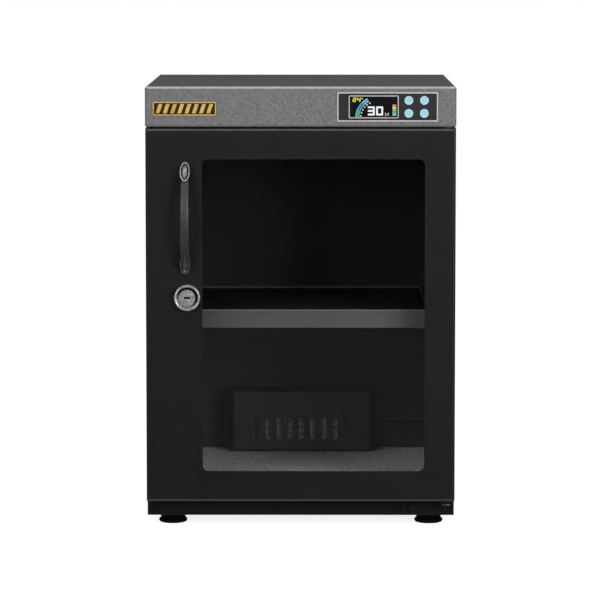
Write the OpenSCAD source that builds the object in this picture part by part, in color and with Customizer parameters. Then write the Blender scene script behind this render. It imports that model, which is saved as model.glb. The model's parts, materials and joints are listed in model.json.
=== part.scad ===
// Camera dry cabinet: a folded steel cabinet with a glazed door, a control head and a drying unit.
// The row frame is in millimetres, with +Z up, the front towards -Y and the hinge side at +X.

/* [Cabinet] */
// Overall width of the cabinet
cabinet_w = 310; // [280:1:360]
// Depth from the front of the head to the rear panel
cabinet_d = 330; // [290:1:400]
// Overall height with the feet
cabinet_h = 445; // [410:1:520]
// Thickness of the folded steel sheet
sheet_t = 1.2; // [0.8:0.1:1.5]
// Outer radius of the bent edges
bend_r = 2.5; // [1.8:0.1:3.5]
// Width of the fold that turns back from each pan's face
fold_d = 14; // [10:1:18]

/* [Feet] */
// Height of a rubber foot
foot_h = 10.5; // [9:0.5:14]
// Largest radius of a foot
foot_r = 14.5; // [12:0.5:18]
// Distance of a foot's centre from the body's sides
foot_inset_x = 25; // [20:1:40]
// Distance of a foot's centre from the body's front and back
foot_inset_y = 26; // [20:1:50]

/* [Head] */
// Height of the control head
head_h = 40.5; // [38:0.5:50]
// Width of the flange that closes the head's underside
head_flange = 30; // [28:1:36]

/* [Door] */
// Thickness of the door
door_t = 20; // [18:0.5:24]
// Gap between the door's back and the front frame
seal_gap = 4; // [3.6:0.1:5]
// Gap between the head and the door's top edge
door_top_gap = 1.5; // [1.2:0.1:3]
// Height of the door's lower edge above the body's underside
door_lift = 18; // [16:0.5:24]
// How much the door is narrower than the body on each side
door_side_gap = 0.25; // [0.1:0.05:1]
// Border above and below the window
window_border = 30.5; // [28:0.1:40]
// Border beside the window on the hinge side
hinge_border = 31.1; // [28:0.1:40]
// Border beside the window on the handle side
handle_border = 56.8; // [50:0.1:64]
// Corner radius of the window
window_r = 6; // [3:0.5:12]
// Thickness of the glass
glass_t = 4; // [3:0.5:5]
// How far the glass runs behind the window's edge
glass_overlap = 4; // [3.5:0.1:4.2]

/* [Hinge] */
// Distance of the hinge axis from the body's side
hinge_inset = 8.5; // [8:0.1:9.5]
// Distance of the hinge axis behind the door's face
hinge_setback = 10; // [9.5:0.1:11]
// Radius of the hinge pins
pin_r = 3; // [2.5:0.1:3.2]
// Length of pin inside the door
pin_depth = 10; // [8:0.5:12]
// Thickness of the hinge brackets
bracket_t = 2.5; // [2:0.1:3]
// Width of the lower bracket's screw plate
bracket_w = 52; // [46:1:64]

/* [Handle] */
// Length of the bow handle
handle_len = 110.5; // [104:0.5:130]
// How far the bow stands out from the door
handle_reach = 24; // [21:0.5:30]
// Width of the bar
handle_bar_w = 8.3; // [7:0.1:9]
// Thickness of the bar
handle_bar_t = 5; // [4:0.1:6]
// Width of the oval ends
handle_end_w = 10.8; // [9.5:0.1:12]
// Distance of the handle's centre line from the window's edge
handle_from_window = 16.9; // [16:0.1:22]
// Distance of the handle's middle below the door's top edge
handle_drop = 89; // [80:0.5:100]

/* [Lock] */
// Radius of the lock's face
lock_r = 13; // [12:0.1:14]
// How far the lock stands out from the door
lock_reach = 8.5; // [6:0.1:12]
// Radius of the threaded barrel
barrel_r = 8; // [7.6:0.1:8.2]
// Radius of the turning plug
plug_r = 5.5; // [4.8:0.1:6]
// Distance of the lock's axis from the window's edge
lock_from_window = 15; // [14.8:0.1:17]
// Distance of the lock's axis below the door's top edge
lock_drop = 168.5; // [160:0.5:180]
// How far the cam reaches behind the frame
cam_bite = 8; // [6:0.5:10]
// Width of the cam
cam_w = 12; // [10:0.5:14]
// Thickness of the cam
cam_t = 2; // [1.5:0.1:2.5]

/* [Display] */
// Width of the display's rim
display_w = 100.3; // [96:0.1:110]
// Height of the display's rim
display_h = 29.2; // [28.4:0.1:31]
// Distance of the display's centre from the body's side
display_inset = 68.5; // [66:0.1:80]
// Width of the light rim
display_rim = 1.3; // [1.2:0.1:1.8]
// Width of the screen's frame
lcd_w = 49.8; // [46:0.1:52]
// Height of the screen's frame
lcd_h = 22.8; // [21:0.1:23.5]
// Radius of a button
button_r = 4.3; // [4:0.1:4.8]
// Spacing of the buttons across
button_pitch_x = 15.4; // [13:0.1:17]
// Spacing of the buttons up and down
button_pitch_z = 12.8; // [12.6:0.1:13.4]
// Travel of a button
button_travel = 0.8; // [0.4:0.1:0.9]

/* [Badge] */
// Width of the plain badge
badge_w = 63; // [50:1:80]
// Height of the plain badge
badge_h = 13.6; // [10:0.1:18]
// Distance of the badge's centre from the body's side
badge_inset = 39.5; // [34:0.5:60]

/* [Shelf] */
// Height of the tray's underside above the body's underside
tray_lift = 188.9; // [180:0.1:200]
// Height of the tray's lips
tray_h = 18.3; // [16:0.1:24]
// Distance of the tray's front behind the frame
tray_setback = 20; // [18:1:30]
// Depth of the foam below the lips
tray_mat_drop = 3; // [2:0.1:3.5]
// Thickness of the floor mat
mat_t = 26.5; // [20:0.5:30]
// Width of a slotted upright
upright_w = 16; // [12:1:20]
// Depth of a slotted upright
upright_d = 8; // [7:0.5:9]
// Spacing of the slots
slot_pitch = 25; // [20:1:30]

/* [Drying unit] */
// Width of the drying unit
dryer_w = 150; // [140:1:170]
// Height of the drying unit
dryer_h = 65; // [60:1:75]
// Depth of the drying unit
dryer_d = 45; // [42:1:55]
// Width of a vent slot
vent_w = 5; // [4:0.1:5.2]
// Height of a vent slot
vent_h = 24; // [18:1:28]
// Spacing of the vent slots
vent_pitch = 12; // [11.5:0.1:12.4]
// Number of vent slots
vent_count = 9; // [5:1:9]
// Travel of the shutter
shutter_travel = 6; // [5.4:0.1:6.4]
// How far the rear cowl stands out
cowl_reach = 7; // [6:0.5:12]

/* [Hidden] */
$fn = 48;
oval_sides = 40;
// Overrun of every cut
over = 1;
// Gap between a moving piece and its seat
run_gap = 0.3;
// Gap between a fixed piece and the hole that it fills
fit_gap = 0.1;
// Radial gap of a pin in its bush, and of a thread in its nut
pin_gap = 0.06;

// Main planes
front_y = -(handle_reach + cabinet_d + cowl_reach) / 2 + handle_reach;
back_y = front_y + cabinet_d;
door_back_y = front_y + door_t;
frame_y = door_back_y + seal_gap;
body_z = foot_h;
head_z = cabinet_h - head_h;
body_h = head_z - body_z;
side_x = cabinet_w / 2;
inner_x = side_x - sheet_t;
floor_z = body_z + sheet_t;
wall_y = back_y - sheet_t;
web_y0 = frame_y + fold_d;
web_y1 = back_y - fold_d;

// Door
door_z0 = body_z + door_lift;
door_z1 = head_z - door_top_gap;
door_h = door_z1 - door_z0;
door_w = cabinet_w - 2 * door_side_gap;
window_x0 = -side_x + handle_border;
window_x1 = side_x - hinge_border;
window_z0 = door_z0 + window_border;
window_z1 = door_z1 - window_border;
window_w = window_x1 - window_x0;
window_h = window_z1 - window_z0;
window_cx = (window_x0 + window_x1) / 2;
window_cz = (window_z0 + window_z1) / 2;
glass_lip_t = 1;
glass_sight = 1;
glass_seal_t = glass_t + 2 * glass_lip_t;
tunnel_margin = 4;
liner_t = 1.2;
gasket_inset = 10.5;
gasket_w = 12;
gasket_base_t = 1.5;
gasket_bulb_w = 8;
gasket_margin = 1.5;
frame_flange = gasket_inset + gasket_w + gasket_margin;
opening_x = side_x - frame_flange;
opening_z0 = door_z0 + frame_flange;
opening_z1 = door_z1 - frame_flange;
opening_r = 5;

// Hinge
hinge_x = side_x - hinge_inset;
hinge_y = front_y + hinge_setback;
bush_r = 5;
bush_flange_r = 6.5;
bush_flange_t = 0.9;
tongue_half = 6.8;
bracket_side_gap = 1.5;
tongue_z = door_z0 - bush_flange_t - run_gap;
tongue_setback = 3;
tongue_y = front_y + tongue_setback;
bracket_rise = 1;
bracket_z = body_z + bracket_rise;
bracket_h = tongue_z - bracket_z;
bracket_x = side_x - bracket_side_gap - bracket_w / 2;
bracket_screw_share = 0.3;
bracket_screw_places = [
    for (s = [-1, 1]) [bracket_x + s * bracket_w * bracket_screw_share, bracket_z + bracket_h / 2]
];
rivet_r = 4.2;
rivet_t = 1;
plate_half = hinge_inset - bend_r;
plate_tail = 30;
plate_y1 = web_y0 + plate_tail;
plate_screws_y = [web_y0 + plate_tail / 4, web_y0 + plate_tail * 3 / 4];

// Handle
handle_x = window_x0 - handle_from_window;
handle_z = door_z1 - handle_drop;
bow_sag = handle_reach - handle_bar_t / 2;
bow_half = handle_len / 2 - handle_bar_t / 2;
bow_r = (bow_half * bow_half + bow_sag * bow_sag) / (2 * bow_sag);
bow_angle = asin(bow_half / bow_r);
bow_soft_r = 1.6;
end_len = 24;
end_t = 7.5;
end_margin = 10.5;
end_reach = handle_len / 2 - end_margin;
end_tilt = asin(end_reach / bow_r);
end_drop = bow_r - bow_r * cos(end_tilt);
ring_wall = 0.4;
ring_t = 0.8;
cap_t = 1.3;
trim_band = 1.3;
trim_gap = 1.1;
handle_screw_share = 0.869;
handle_screw_places = [
    for (s = [-1, 1]) [handle_x, handle_z + s * handle_len / 2 * handle_screw_share]
];

// Screws
m4_r = 2;
m4_head_r = 3.6;
m4_head_t = 2.4;
m3_r = 1.5;
m3_head_r = 2.8;
m3_head_t = 1.6;
drive_share = 0.5;

// Feet
foot_places = [
    for (x = [-1, 1], y = [frame_y + foot_inset_y, back_y - foot_inset_y])
        [x * (side_x - foot_inset_x), y]
];
// The turned outline from the sole up, as shares of the foot's radius and height
foot_outline_shares = [
    [0.8, 0], [0.91, 0.05], [0.98, 0.16], [1, 0.27], [0.97, 0.37],
    [0.89, 0.46], [0.85, 0.54], [0.86, 0.64], [0.94, 0.76], [0.95, 1]
];
foot_bore_r = 5;
foot_bore_h = 6;

// Lock
lock_x = window_x0 - lock_from_window;
lock_z = door_z1 - lock_drop;
lock_rim_w = 2.2;
lock_rim_steps = 10;
lock_dish = 1.4;
lock_groove_r = 10.2;
lock_groove_w = 1.9;
lock_groove_d = 1.2;
plug_head_r = 7.2;
plug_head_t = 3;
key_w = 6.4;
key_h = 2;
key_depth = 9;
strike_t = 2;
strike_w = 15;
strike_h = 44;
strike_x = -opening_x - strike_w / 2;
strike_rivet_share = 0.38;
cam_y = frame_y + sheet_t + strike_t + run_gap;
cam_len = lock_x + opening_x + cam_bite;
nut_flat = 19;
nut_t = 4;

// Display
display_x = side_x - display_inset;
display_z = head_z + head_h / 2;
rim_reach = 1.2;
sleeve_t = 0.8;
sleeve_d = 6;
panel_w = display_w - 2 * display_rim;
panel_h = display_h - 2 * display_rim;
panel_t = 2;
panel_proud = 0.6;
panel_r = 0.8;
lcd_margin = 10.1;
lcd_rim = 1.1;
lcd_proud = 0.4;
lcd_x = display_x - panel_w / 2 + lcd_margin + lcd_w / 2;
lcd_glass_t = 2;
button_margin = 8.1;
button_x = display_x + panel_w / 2 - button_margin - button_pitch_x - button_r;
button_proud = 1;
button_lip_r = 5.4;
button_lip_t = 1;
button_stem_r = 1.6;
button_places = [
    for (z = [1, -1], i = [0, 1])
        [button_x + i * button_pitch_x, display_z + z * button_pitch_z / 2]
];
board_setback = 12;
board_y = front_y + board_setback;
board_t = 1.6;
board_margin = 5;
board_w = display_w + 2 * board_margin;
board_h = 30;
standoff_r = 2.4;
stud_r = 1.2;
standoff_z = 11;
standoff_places = [
    for (x = [-1, 1], z = [-1, 1])
        [display_x + x * (board_w / 2 - standoff_r - fit_gap), display_z + z * standoff_z]
];
switch_w = 6;
switch_t = 2.6;
switch_tip_r = 1.6;
switch_tip_t = 1;
switch_gap = 0.15;

// Head contents
power_w = 110;
power_d = 70;
power_edge = 4;
power_rear_gap = 3;
loom_r = 2;
// The wires run straight back from the control board to the supply, and the socket is on its board
lead_x = display_x - board_w / 2 + power_edge + loom_r;
power_x = lead_x + power_edge - power_w / 2;
power_y = wall_y - power_rear_gap - power_d / 2;
inlet_inset = 9;
inlet_x = power_x - power_w / 2 + inlet_inset;
inlet_r = 5.5;
power_post_h = head_h / 2 - inlet_r - board_t;
transformer = [32, 28, 20];
capacitor_r = 6;
capacitor_h = 16;
inlet_bore_r = 3;
inlet_pin_r = 1;
inlet_len = 12;
inlet_nut_r = 7.5;
inlet_nut_t = 2;
probe_inset = 95;
probe_setback = 120;
probe_x = -side_x + probe_inset;
probe_y = front_y + probe_setback;
probe_r = 9;
probe_h = 9;
probe_stem_r = 4;
probe_slot_h = 4;
probe_slot_w = 2;
probe_slots = 6;
vent_bar = 3;
head_screw_inset = 8;
head_tab_w = 14;
head_tab_h = 16;
head_vents = 12;
head_vent_pitch = 7;
head_vent_h = 18;

// Badge
badge_x = -side_x + badge_inset;
badge_drop = 1.8;
badge_z = display_z - badge_drop;
badge_t = 1.6;
badge_r = 2;
badge_rim = 1.1;
badge_sunk = 0.7;
badge_bars = 8;
badge_lean = 3.2;
badge_bar_share = 0.52;

// Shelf
tray_z = body_z + tray_lift;
tray_gap = 2;
tray_w = 2 * (opening_x - tray_gap);
tray_y0 = frame_y + sheet_t + tray_setback;
tray_rear_gap = 20;
tray_y1 = wall_y - tray_rear_gap;
tray_d = tray_y1 - tray_y0;
lip_t = 2.4;
mat_gap = 0.3;
mat_r = 3;
rail_under = 11;
rail_guide_h = 6;
rail_web_h = 26;
rail_hook_h = 8;
rail_hook_d = 4;
slot_w = 2.2;
slot_h = 11;
upright_margin = 34;
upright_z0 = door_z0 + upright_margin;
upright_z1 = door_z1 - upright_margin;
upright_front = 42;
upright_rear = 62;
upright_places = [frame_y + upright_front, wall_y - upright_rear];
slot_count = floor((upright_z1 - upright_z0 - slot_pitch) / slot_pitch);
rail_z = tray_z - run_gap - sheet_t;
// The slots line up with the rail's hooks, whatever the tray's height
hook_z = rail_z + rail_web_h / 2;
slot_base = hook_z - floor((hook_z - upright_z0 - slot_h) / slot_pitch) * slot_pitch;

// Drying unit
dryer_wall = 2;
mat_top = floor_z + mat_t;
dryer_rise = 1.5;
dryer_z = mat_top + dryer_rise;
dryer_y = wall_y - dryer_d;
boss_r = 3.5;
boss_depth = 16;
// How far each boss runs into the walls of its corner
boss_sink = 1;
boss_inset = dryer_wall + boss_r - boss_sink;
boss_x = dryer_w / 2 - boss_inset;
boss_z0 = dryer_z + boss_inset;
boss_z1 = dryer_z + dryer_h - boss_inset;
boss_places = [
    for (x = [-boss_x, boss_x], z = [boss_z0, boss_z1]) [x, z]
];
shutter_t = 1.5;
shutter_gap = 0.4;
shutter_margin = 2;
shutter_w = (vent_count - 1) * vent_pitch + vent_w + 2 * (shutter_travel + shutter_margin);
shutter_h = vent_h + 4 * shutter_margin;
vent_z = boss_z0 + boss_r + run_gap + shutter_h / 2;
link_w = 4;
link_z = vent_z + shutter_h / 2;
link_x = shutter_w / 2 - link_w;
cassette_w = 92;
cassette_h = 26;
cassette_t = 16;
cassette_gap = 7;
cassette_y = dryer_y + dryer_wall + shutter_gap + shutter_t + cassette_gap;
cassette_z = vent_z - cassette_h / 2;
cassette_r = 1.8;
cassette_pitch = 7;
// Columns and rows of holes on each side of the middle ones
cassette_cols = 5;
cassette_rows = 1;
heater_t = 3;
actuator_r = 7;
actuator_len = 44;
actuator_shift = 34;
actuator_x = -actuator_shift;
actuator_drop = 3;
actuator_y = dryer_y + dryer_d / 2;
actuator_z = dryer_z + dryer_h - dryer_wall - actuator_r - actuator_drop;
plunger_r = 2;
plunger_depth = 20;
saddle_w = 8;
cowl_wall = 1.5;
cowl_slots = 3;
cowl_slot_h = 4;
cowl_pocket_w = 2 * (boss_x - boss_r - cowl_wall);
cowl_pocket_h = vent_h + 4 * cowl_wall;
loom_bend = 10;
loom_x = side_x - head_flange / 2 - loom_r - run_gap;
loom_y = wall_y - tray_rear_gap + loom_r + fit_gap + tray_gap;
loom_z = cassette_z + cassette_h * 3 / 4;
power_z = head_z + power_post_h + board_t / 2;

// Shared shapes

// A rectangle with round corners, centred
module soft_rect(w, h, r) {
    square([w - 2 * r, h], center = true);
    square([w, h - 2 * r], center = true);
    for (x = [-1, 1], y = [-1, 1])
        translate([x * (w / 2 - r), y * (h / 2 - r)]) circle(r);
}

// A strip with half-round ends, centred, its long side upright
module stadium(w, h) {
    square([w, h - w], center = true);
    for (y = [-1, 1])
        translate([0, y * (h - w) / 2]) circle(w / 2);
}

// An oval, centred
module oval(w, h) {
    turn = 360 / oval_sides;
    polygon([for (i = [0:oval_sides - 1]) [w / 2 * cos(i * turn), h / 2 * sin(i * turn)]]);
}

// Stands a flat outline up, facing the front: its x stays and its y becomes z
module upright_extrude(t) {
    translate([0, t, 0]) rotate([90, 0, 0]) linear_extrude(t) children();
}

// A strip from y 0 to d whose two front corners are bent
module bent_outline(w, d, r) {
    translate([-w / 2, r]) square([w, d - r]);
    translate([-w / 2 + r, 0]) square([w - 2 * r, r]);
    for (x = [-1, 1])
        translate([x * (w / 2 - r), r]) circle(r);
}

// A block from z 0 to h whose four front edges are bent
module bent_block(w, d, h, r) {
    intersection() {
        linear_extrude(h) bent_outline(w, d, r);
        translate([-w / 2, 0, h / 2]) rotate([0, 90, 0]) linear_extrude(w) bent_outline(h, d, r);
    }
}

// A folded pan: a face with four sides, open at the back
module folded_pan(w, d, h) {
    difference() {
        bent_block(w, d, h, bend_r);
        translate([0, sheet_t, sheet_t])
            bent_block(w - 2 * sheet_t, d, h - 2 * sheet_t, bend_r - sheet_t);
    }
}

// A frame between two soft rectangles, standing up
module soft_ring(w, h, r, hole_w, hole_h, hole_r, t) {
    upright_extrude(t) difference() {
        soft_rect(w, h, r);
        soft_rect(hole_w, hole_h, hole_r);
    }
}

// A pan-head screw whose head ends at z 0 and whose shank runs down
module screw(r, head_r, head_t, len) {
    translate([0, 0, -len]) cylinder(r = r, h = len);
    difference() {
        cylinder(r = head_r, h = head_t);
        translate([0, 0, head_t * drive_share])
            cylinder(r = head_r * drive_share, h = head_t, $fn = 6);
    }
}

// Turns a piece that runs down from z 0 to point into +Y
module into_back() {
    rotate([90, 0, 0]) children();
}

// Turns a piece that runs down from z 0 to point into -Y
module into_front() {
    rotate([-90, 0, 0]) children();
}

// The evenly spaced upright vent slots, as seen from the front
module vent_slots(shift) {
    for (i = [0:vent_count - 1])
        translate([(i - (vent_count - 1) / 2) * vent_pitch + shift, 0]) stadium(vent_w, vent_h);
}

// Cabinet body

module front_frame() {
    color([0.06, 0.06, 0.062]) difference() {
        translate([0, frame_y, body_z]) folded_pan(cabinet_w, fold_d, body_h);
        translate([0, frame_y - over, (opening_z0 + opening_z1) / 2])
            upright_extrude(sheet_t + 2 * over)
                soft_rect(2 * opening_x, opening_z1 - opening_z0, opening_r);
        for (p = bracket_screw_places)
            translate([p[0], frame_y - over, p[1]]) sheet_hole(m4_r + fit_gap);
        for (z = [-1, 1])
            translate([strike_x, frame_y - over, lock_z + z * strike_h * strike_rivet_share])
                sheet_hole(m3_r + fit_gap);
    }
}

// A drilled hole through one sheet, along +Y
module sheet_hole(r) {
    rotate([-90, 0, 0]) cylinder(r = r, h = sheet_t + 2 * over);
}

module side_panel(side) {
    color([0.05, 0.05, 0.052])
        translate([side * (side_x - sheet_t / 2) - sheet_t / 2, web_y0, body_z])
            cube([sheet_t, web_y1 - web_y0, body_h]);
}

module side_panel_left() { side_panel(-1); }

module side_panel_right() { side_panel(1); }

module floor_panel() {
    color([0.05, 0.05, 0.052]) difference() {
        translate([-inner_x, web_y0, body_z]) cube([2 * inner_x, web_y1 - web_y0, sheet_t]);
        for (p = foot_places)
            translate([p[0], p[1], body_z - over]) cylinder(r = m4_r + fit_gap, h = sheet_t + 2 * over);
    }
}

module head_deck() {
    color([0.05, 0.05, 0.052]) difference() {
        translate([-inner_x, web_y0, head_z - sheet_t]) cube([2 * inner_x, web_y1 - web_y0, sheet_t]);
        translate([probe_x, probe_y, head_z - sheet_t - over])
            cylinder(r = probe_stem_r + fit_gap, h = sheet_t + 2 * over);
        for (y = plate_screws_y)
            translate([hinge_x, y, head_z - sheet_t - over])
                cylinder(r = m3_r + fit_gap, h = sheet_t + 2 * over);
        translate([loom_x, loom_y, head_z - sheet_t - over])
            cylinder(r = loom_r + fit_gap, h = sheet_t + 2 * over);
    }
}

module rear_panel() {
    color([0.05, 0.05, 0.052]) difference() {
        translate([0, back_y, body_z]) mirror([0, 1, 0]) folded_pan(cabinet_w, fold_d, body_h);
        translate([0, wall_y - over, vent_z]) upright_extrude(sheet_t + 2 * over) vent_slots(0);
        for (p = boss_places)
            translate([p[0], wall_y - over, p[1]]) sheet_hole(m3_r + fit_gap);
    }
}

// Feet

// A turned rubber foot with a recess for its screw
module foot() {
    rotate_extrude() polygon([
        [m4_r + fit_gap, foot_bore_h],
        [foot_bore_r, foot_bore_h],
        [foot_bore_r, 0],
        for (s = foot_outline_shares) [foot_r * s[0], foot_h * s[1]],
        [m4_r + fit_gap, foot_h]
    ]);
}

module feet() {
    color([0.02, 0.02, 0.022]) for (p = foot_places)
        translate([p[0], p[1], 0]) foot();
}

module foot_screws() {
    color([0.6, 0.6, 0.62]) for (p = foot_places)
        translate([p[0], p[1], foot_bore_h]) mirror([0, 0, 1])
            screw(m4_r, m4_head_r, m4_head_t, floor_z - foot_bore_h);
}

// Control head

// The head's outer block, with every front and top edge bent
module head_block(inset) {
    r = bend_r - inset;
    w = cabinet_w - 2 * inset;
    h = head_h - 2 * inset;
    intersection() {
        translate([0, front_y + inset, head_z + inset]) bent_block(w, cabinet_d, h, r);
        translate([0, front_y - over, display_z]) upright_extrude(cabinet_d + 3 * over) soft_rect(w, h, r);
    }
}

module head_cover() {
    hole_w = panel_w + 2 * (sleeve_t + fit_gap);
    hole_h = panel_h + 2 * (sleeve_t + fit_gap);
    color([0.36, 0.36, 0.37]) {
        difference() {
            head_block(0);
            head_block(sheet_t);
            translate([-side_x + head_flange / 2, front_y + head_flange, head_z - over])
                cube([cabinet_w - head_flange, cabinet_d - head_flange - fold_d, sheet_t + 2 * over]);
            translate([display_x, front_y - over, display_z])
                upright_extrude(sheet_t + 2 * over) soft_rect(hole_w, hole_h, panel_r);
            translate([hinge_x, hinge_y, head_z - over])
                cylinder(r = pin_r + pin_gap, h = sheet_t + 2 * over);
            for (y = plate_screws_y)
                translate([hinge_x, y, head_z - over]) cylinder(r = m3_r + fit_gap, h = sheet_t + 2 * over);
        }
        for (x = [-1, 1])
            translate([x * (inner_x - head_tab_w / 2), wall_y - sheet_t, display_z]) difference() {
                upright_extrude(sheet_t) square([head_tab_w, head_tab_h], center = true);
                translate([x * (head_tab_w / 2 - head_screw_inset + sheet_t), -over, 0])
                    sheet_hole(m3_r + pin_gap);
            }
    }
}

module head_rear_panel() {
    w = 2 * (inner_x - fit_gap);
    h = head_h - 2 * (sheet_t + fit_gap);
    color([0.3, 0.3, 0.31]) difference() {
        translate([0, wall_y, display_z]) upright_extrude(sheet_t) soft_rect(w, h, bend_r - sheet_t);
        for (i = [0:head_vents - 1])
            translate([i * head_vent_pitch, wall_y - over, display_z])
                upright_extrude(sheet_t + 2 * over) stadium(vent_bar, head_vent_h);
        translate([inlet_x, wall_y - over, display_z]) sheet_hole(inlet_r + fit_gap);
        for (x = [-1, 1])
            translate([x * (side_x - head_screw_inset), wall_y - over, display_z])
                sheet_hole(m3_r + fit_gap);
    }
}

module head_screws() {
    color([0.6, 0.6, 0.62]) for (x = [-1, 1])
        translate([x * (side_x - head_screw_inset), back_y, display_z]) into_front()
            screw(m3_r, m3_head_r, m3_head_t, 2 * sheet_t + m3_r);
}

// A blank badge: a sunk field with a rim and a row of leaning bars
module badge_plate() {
    field_w = badge_w - 2 * badge_rim;
    field_h = badge_h - 2 * badge_rim;
    pitch = (field_w - badge_lean) / badge_bars;
    bar = pitch * badge_bar_share;
    color([0.75, 0.55, 0.2]) translate([badge_x, front_y - badge_t, badge_z]) {
        difference() {
            upright_extrude(badge_t) soft_rect(badge_w, badge_h, badge_r);
            translate([0, -over, 0]) upright_extrude(badge_sunk + over)
                soft_rect(field_w, field_h, badge_r - badge_rim);
        }
        for (i = [0:badge_bars - 1])
            translate([-field_w / 2 + pitch * (i + (1 - badge_bar_share) / 2), 0, -field_h / 2 + badge_rim])
                upright_extrude(badge_t) polygon([
                    [0, 0],
                    [bar, 0],
                    [bar + badge_lean, field_h - 2 * badge_rim],
                    [badge_lean, field_h - 2 * badge_rim]
                ]);
    }
}

// Display and buttons

module display_bezel() {
    color([0.75, 0.75, 0.76]) {
        translate([display_x, front_y - rim_reach, display_z])
            soft_ring(display_w, display_h, panel_r + display_rim / 4, panel_w, panel_h, panel_r, rim_reach);
        translate([display_x, front_y, display_z]) soft_ring(
            panel_w + 2 * sleeve_t, panel_h + 2 * sleeve_t, panel_r,
            panel_w, panel_h, panel_r, sleeve_d
        );
    }
}

module display_panel() {
    color([0.05, 0.05, 0.055]) difference() {
        translate([display_x, front_y - panel_proud, display_z])
            upright_extrude(panel_t)
                soft_rect(panel_w - 2 * fit_gap, panel_h - 2 * fit_gap, panel_r - fit_gap);
        translate([lcd_x, front_y - panel_proud - over, display_z])
            upright_extrude(panel_t + 2 * over)
                square([lcd_w - 2 * lcd_rim, lcd_h - 2 * lcd_rim], center = true);
        for (p = button_places)
            translate([p[0], front_y - panel_proud - over, p[1]]) rotate([-90, 0, 0])
                cylinder(r = button_r + run_gap / 2, h = panel_t + 2 * over);
    }
}

module lcd_frame() {
    color([0.6, 0.58, 0.6]) translate([lcd_x, front_y - panel_proud - lcd_proud, display_z])
        soft_ring(
            lcd_w, lcd_h, lcd_rim + panel_r / 2,
            lcd_w - 2 * lcd_rim, lcd_h - 2 * lcd_rim, panel_r / 2, lcd_proud
        );
}

module lcd_screen() {
    inset = 2 * (lcd_rim + fit_gap);
    color([0.02, 0.02, 0.03]) translate([lcd_x, front_y - panel_proud, display_z])
        upright_extrude(lcd_glass_t) square([lcd_w - inset, lcd_h - inset], center = true);
}

module lcd_backlight() {
    inset = 2 * (lcd_rim + fit_gap);
    light_y = front_y - panel_proud + lcd_glass_t;
    color([0.8, 0.8, 0.8]) translate([lcd_x, light_y, display_z])
        upright_extrude(board_y - light_y) square([lcd_w - inset, lcd_h - inset], center = true);
}

// A round key: cap, retaining lip and stem, with a raised mark on its face
module button(place) {
    lip_y = front_y - panel_proud + panel_t + run_gap;
    cap_y = front_y - panel_proud - button_proud;
    stem_end = board_y - switch_t - switch_tip_t - button_travel - switch_gap;
    color([0.6, 0.8, 0.86]) translate([place[0], 0, place[1]]) {
        translate([0, cap_y, 0]) rotate([-90, 0, 0]) cylinder(r = button_r, h = lip_y - cap_y);
        translate([0, lip_y, 0]) rotate([-90, 0, 0]) cylinder(r = button_lip_r, h = button_lip_t);
        translate([0, lip_y + button_lip_t, 0]) rotate([-90, 0, 0])
            cylinder(r = button_stem_r, h = stem_end - lip_y - button_lip_t);
    }
}

module button_up() { button(button_places[0]); }

module button_mode() { button(button_places[1]); }

module button_down() { button(button_places[2]); }

module button_lamp() { button(button_places[3]); }

module control_board() {
    color([0.05, 0.3, 0.12]) difference() {
        translate([display_x, board_y, display_z])
            upright_extrude(board_t) square([board_w, board_h], center = true);
        for (p = standoff_places)
            translate([p[0], board_y - over, p[1]]) rotate([-90, 0, 0])
                cylinder(r = stud_r + fit_gap, h = board_t + 2 * over);
    }
}

// Posts riveted to the head, each with a stud through the board
module board_standoffs() {
    post_len = board_y - front_y - sheet_t;
    color([0.7, 0.6, 0.3]) for (p = standoff_places)
        translate([p[0], front_y + sheet_t, p[1]]) rotate([-90, 0, 0]) {
            cylinder(r = standoff_r, h = post_len);
            cylinder(r = stud_r, h = post_len + board_t);
        }
}

module key_switches() {
    color([0.1, 0.1, 0.1]) for (p = button_places)
        translate([p[0], board_y, p[1]]) rotate([90, 0, 0]) {
            linear_extrude(switch_t) square([switch_w, switch_w], center = true);
            cylinder(r = switch_tip_r, h = switch_t + switch_tip_t);
        }
}

// Power supply in the head

// The supply board on its posts, with a transformer and two capacitors
module power_board() {
    color([0.05, 0.3, 0.12]) translate([power_x, power_y, head_z]) {
        translate([-power_w / 2, -power_d / 2, power_post_h]) cube([power_w, power_d, board_t]);
        for (x = [-1, 1], y = [-1, 1])
            translate([x * (power_w / 2 - standoff_r), y * (power_d / 2 - fold_d), 0])
                cylinder(r = standoff_r, h = power_post_h);
        translate([0, 0, power_post_h + board_t]) {
            translate([-transformer[0], -transformer[1] / 2, 0]) cube(transformer);
            for (i = [0, 1])
                translate([power_w / 2 - 2 * capacitor_r, (i - 1 / 2) * power_d / 2, 0])
                    cylinder(r = capacitor_r, h = capacitor_h);
        }
    }
}

// The low-voltage socket, with its centre pin and its ring nut
module power_inlet() {
    color([0.08, 0.08, 0.08]) translate([inlet_x, back_y, display_z]) rotate([90, 0, 0]) difference() {
        union() {
            translate([0, 0, -inlet_nut_t]) cylinder(r = inlet_nut_r, h = inlet_nut_t);
            cylinder(r = inlet_r, h = inlet_len);
        }
        difference() {
            translate([0, 0, -inlet_nut_t - over]) cylinder(r = inlet_bore_r, h = inlet_len + inlet_nut_t);
            translate([0, 0, -inlet_nut_t]) cylinder(r = inlet_pin_r, h = inlet_len + inlet_nut_t);
        }
    }
}

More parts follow.
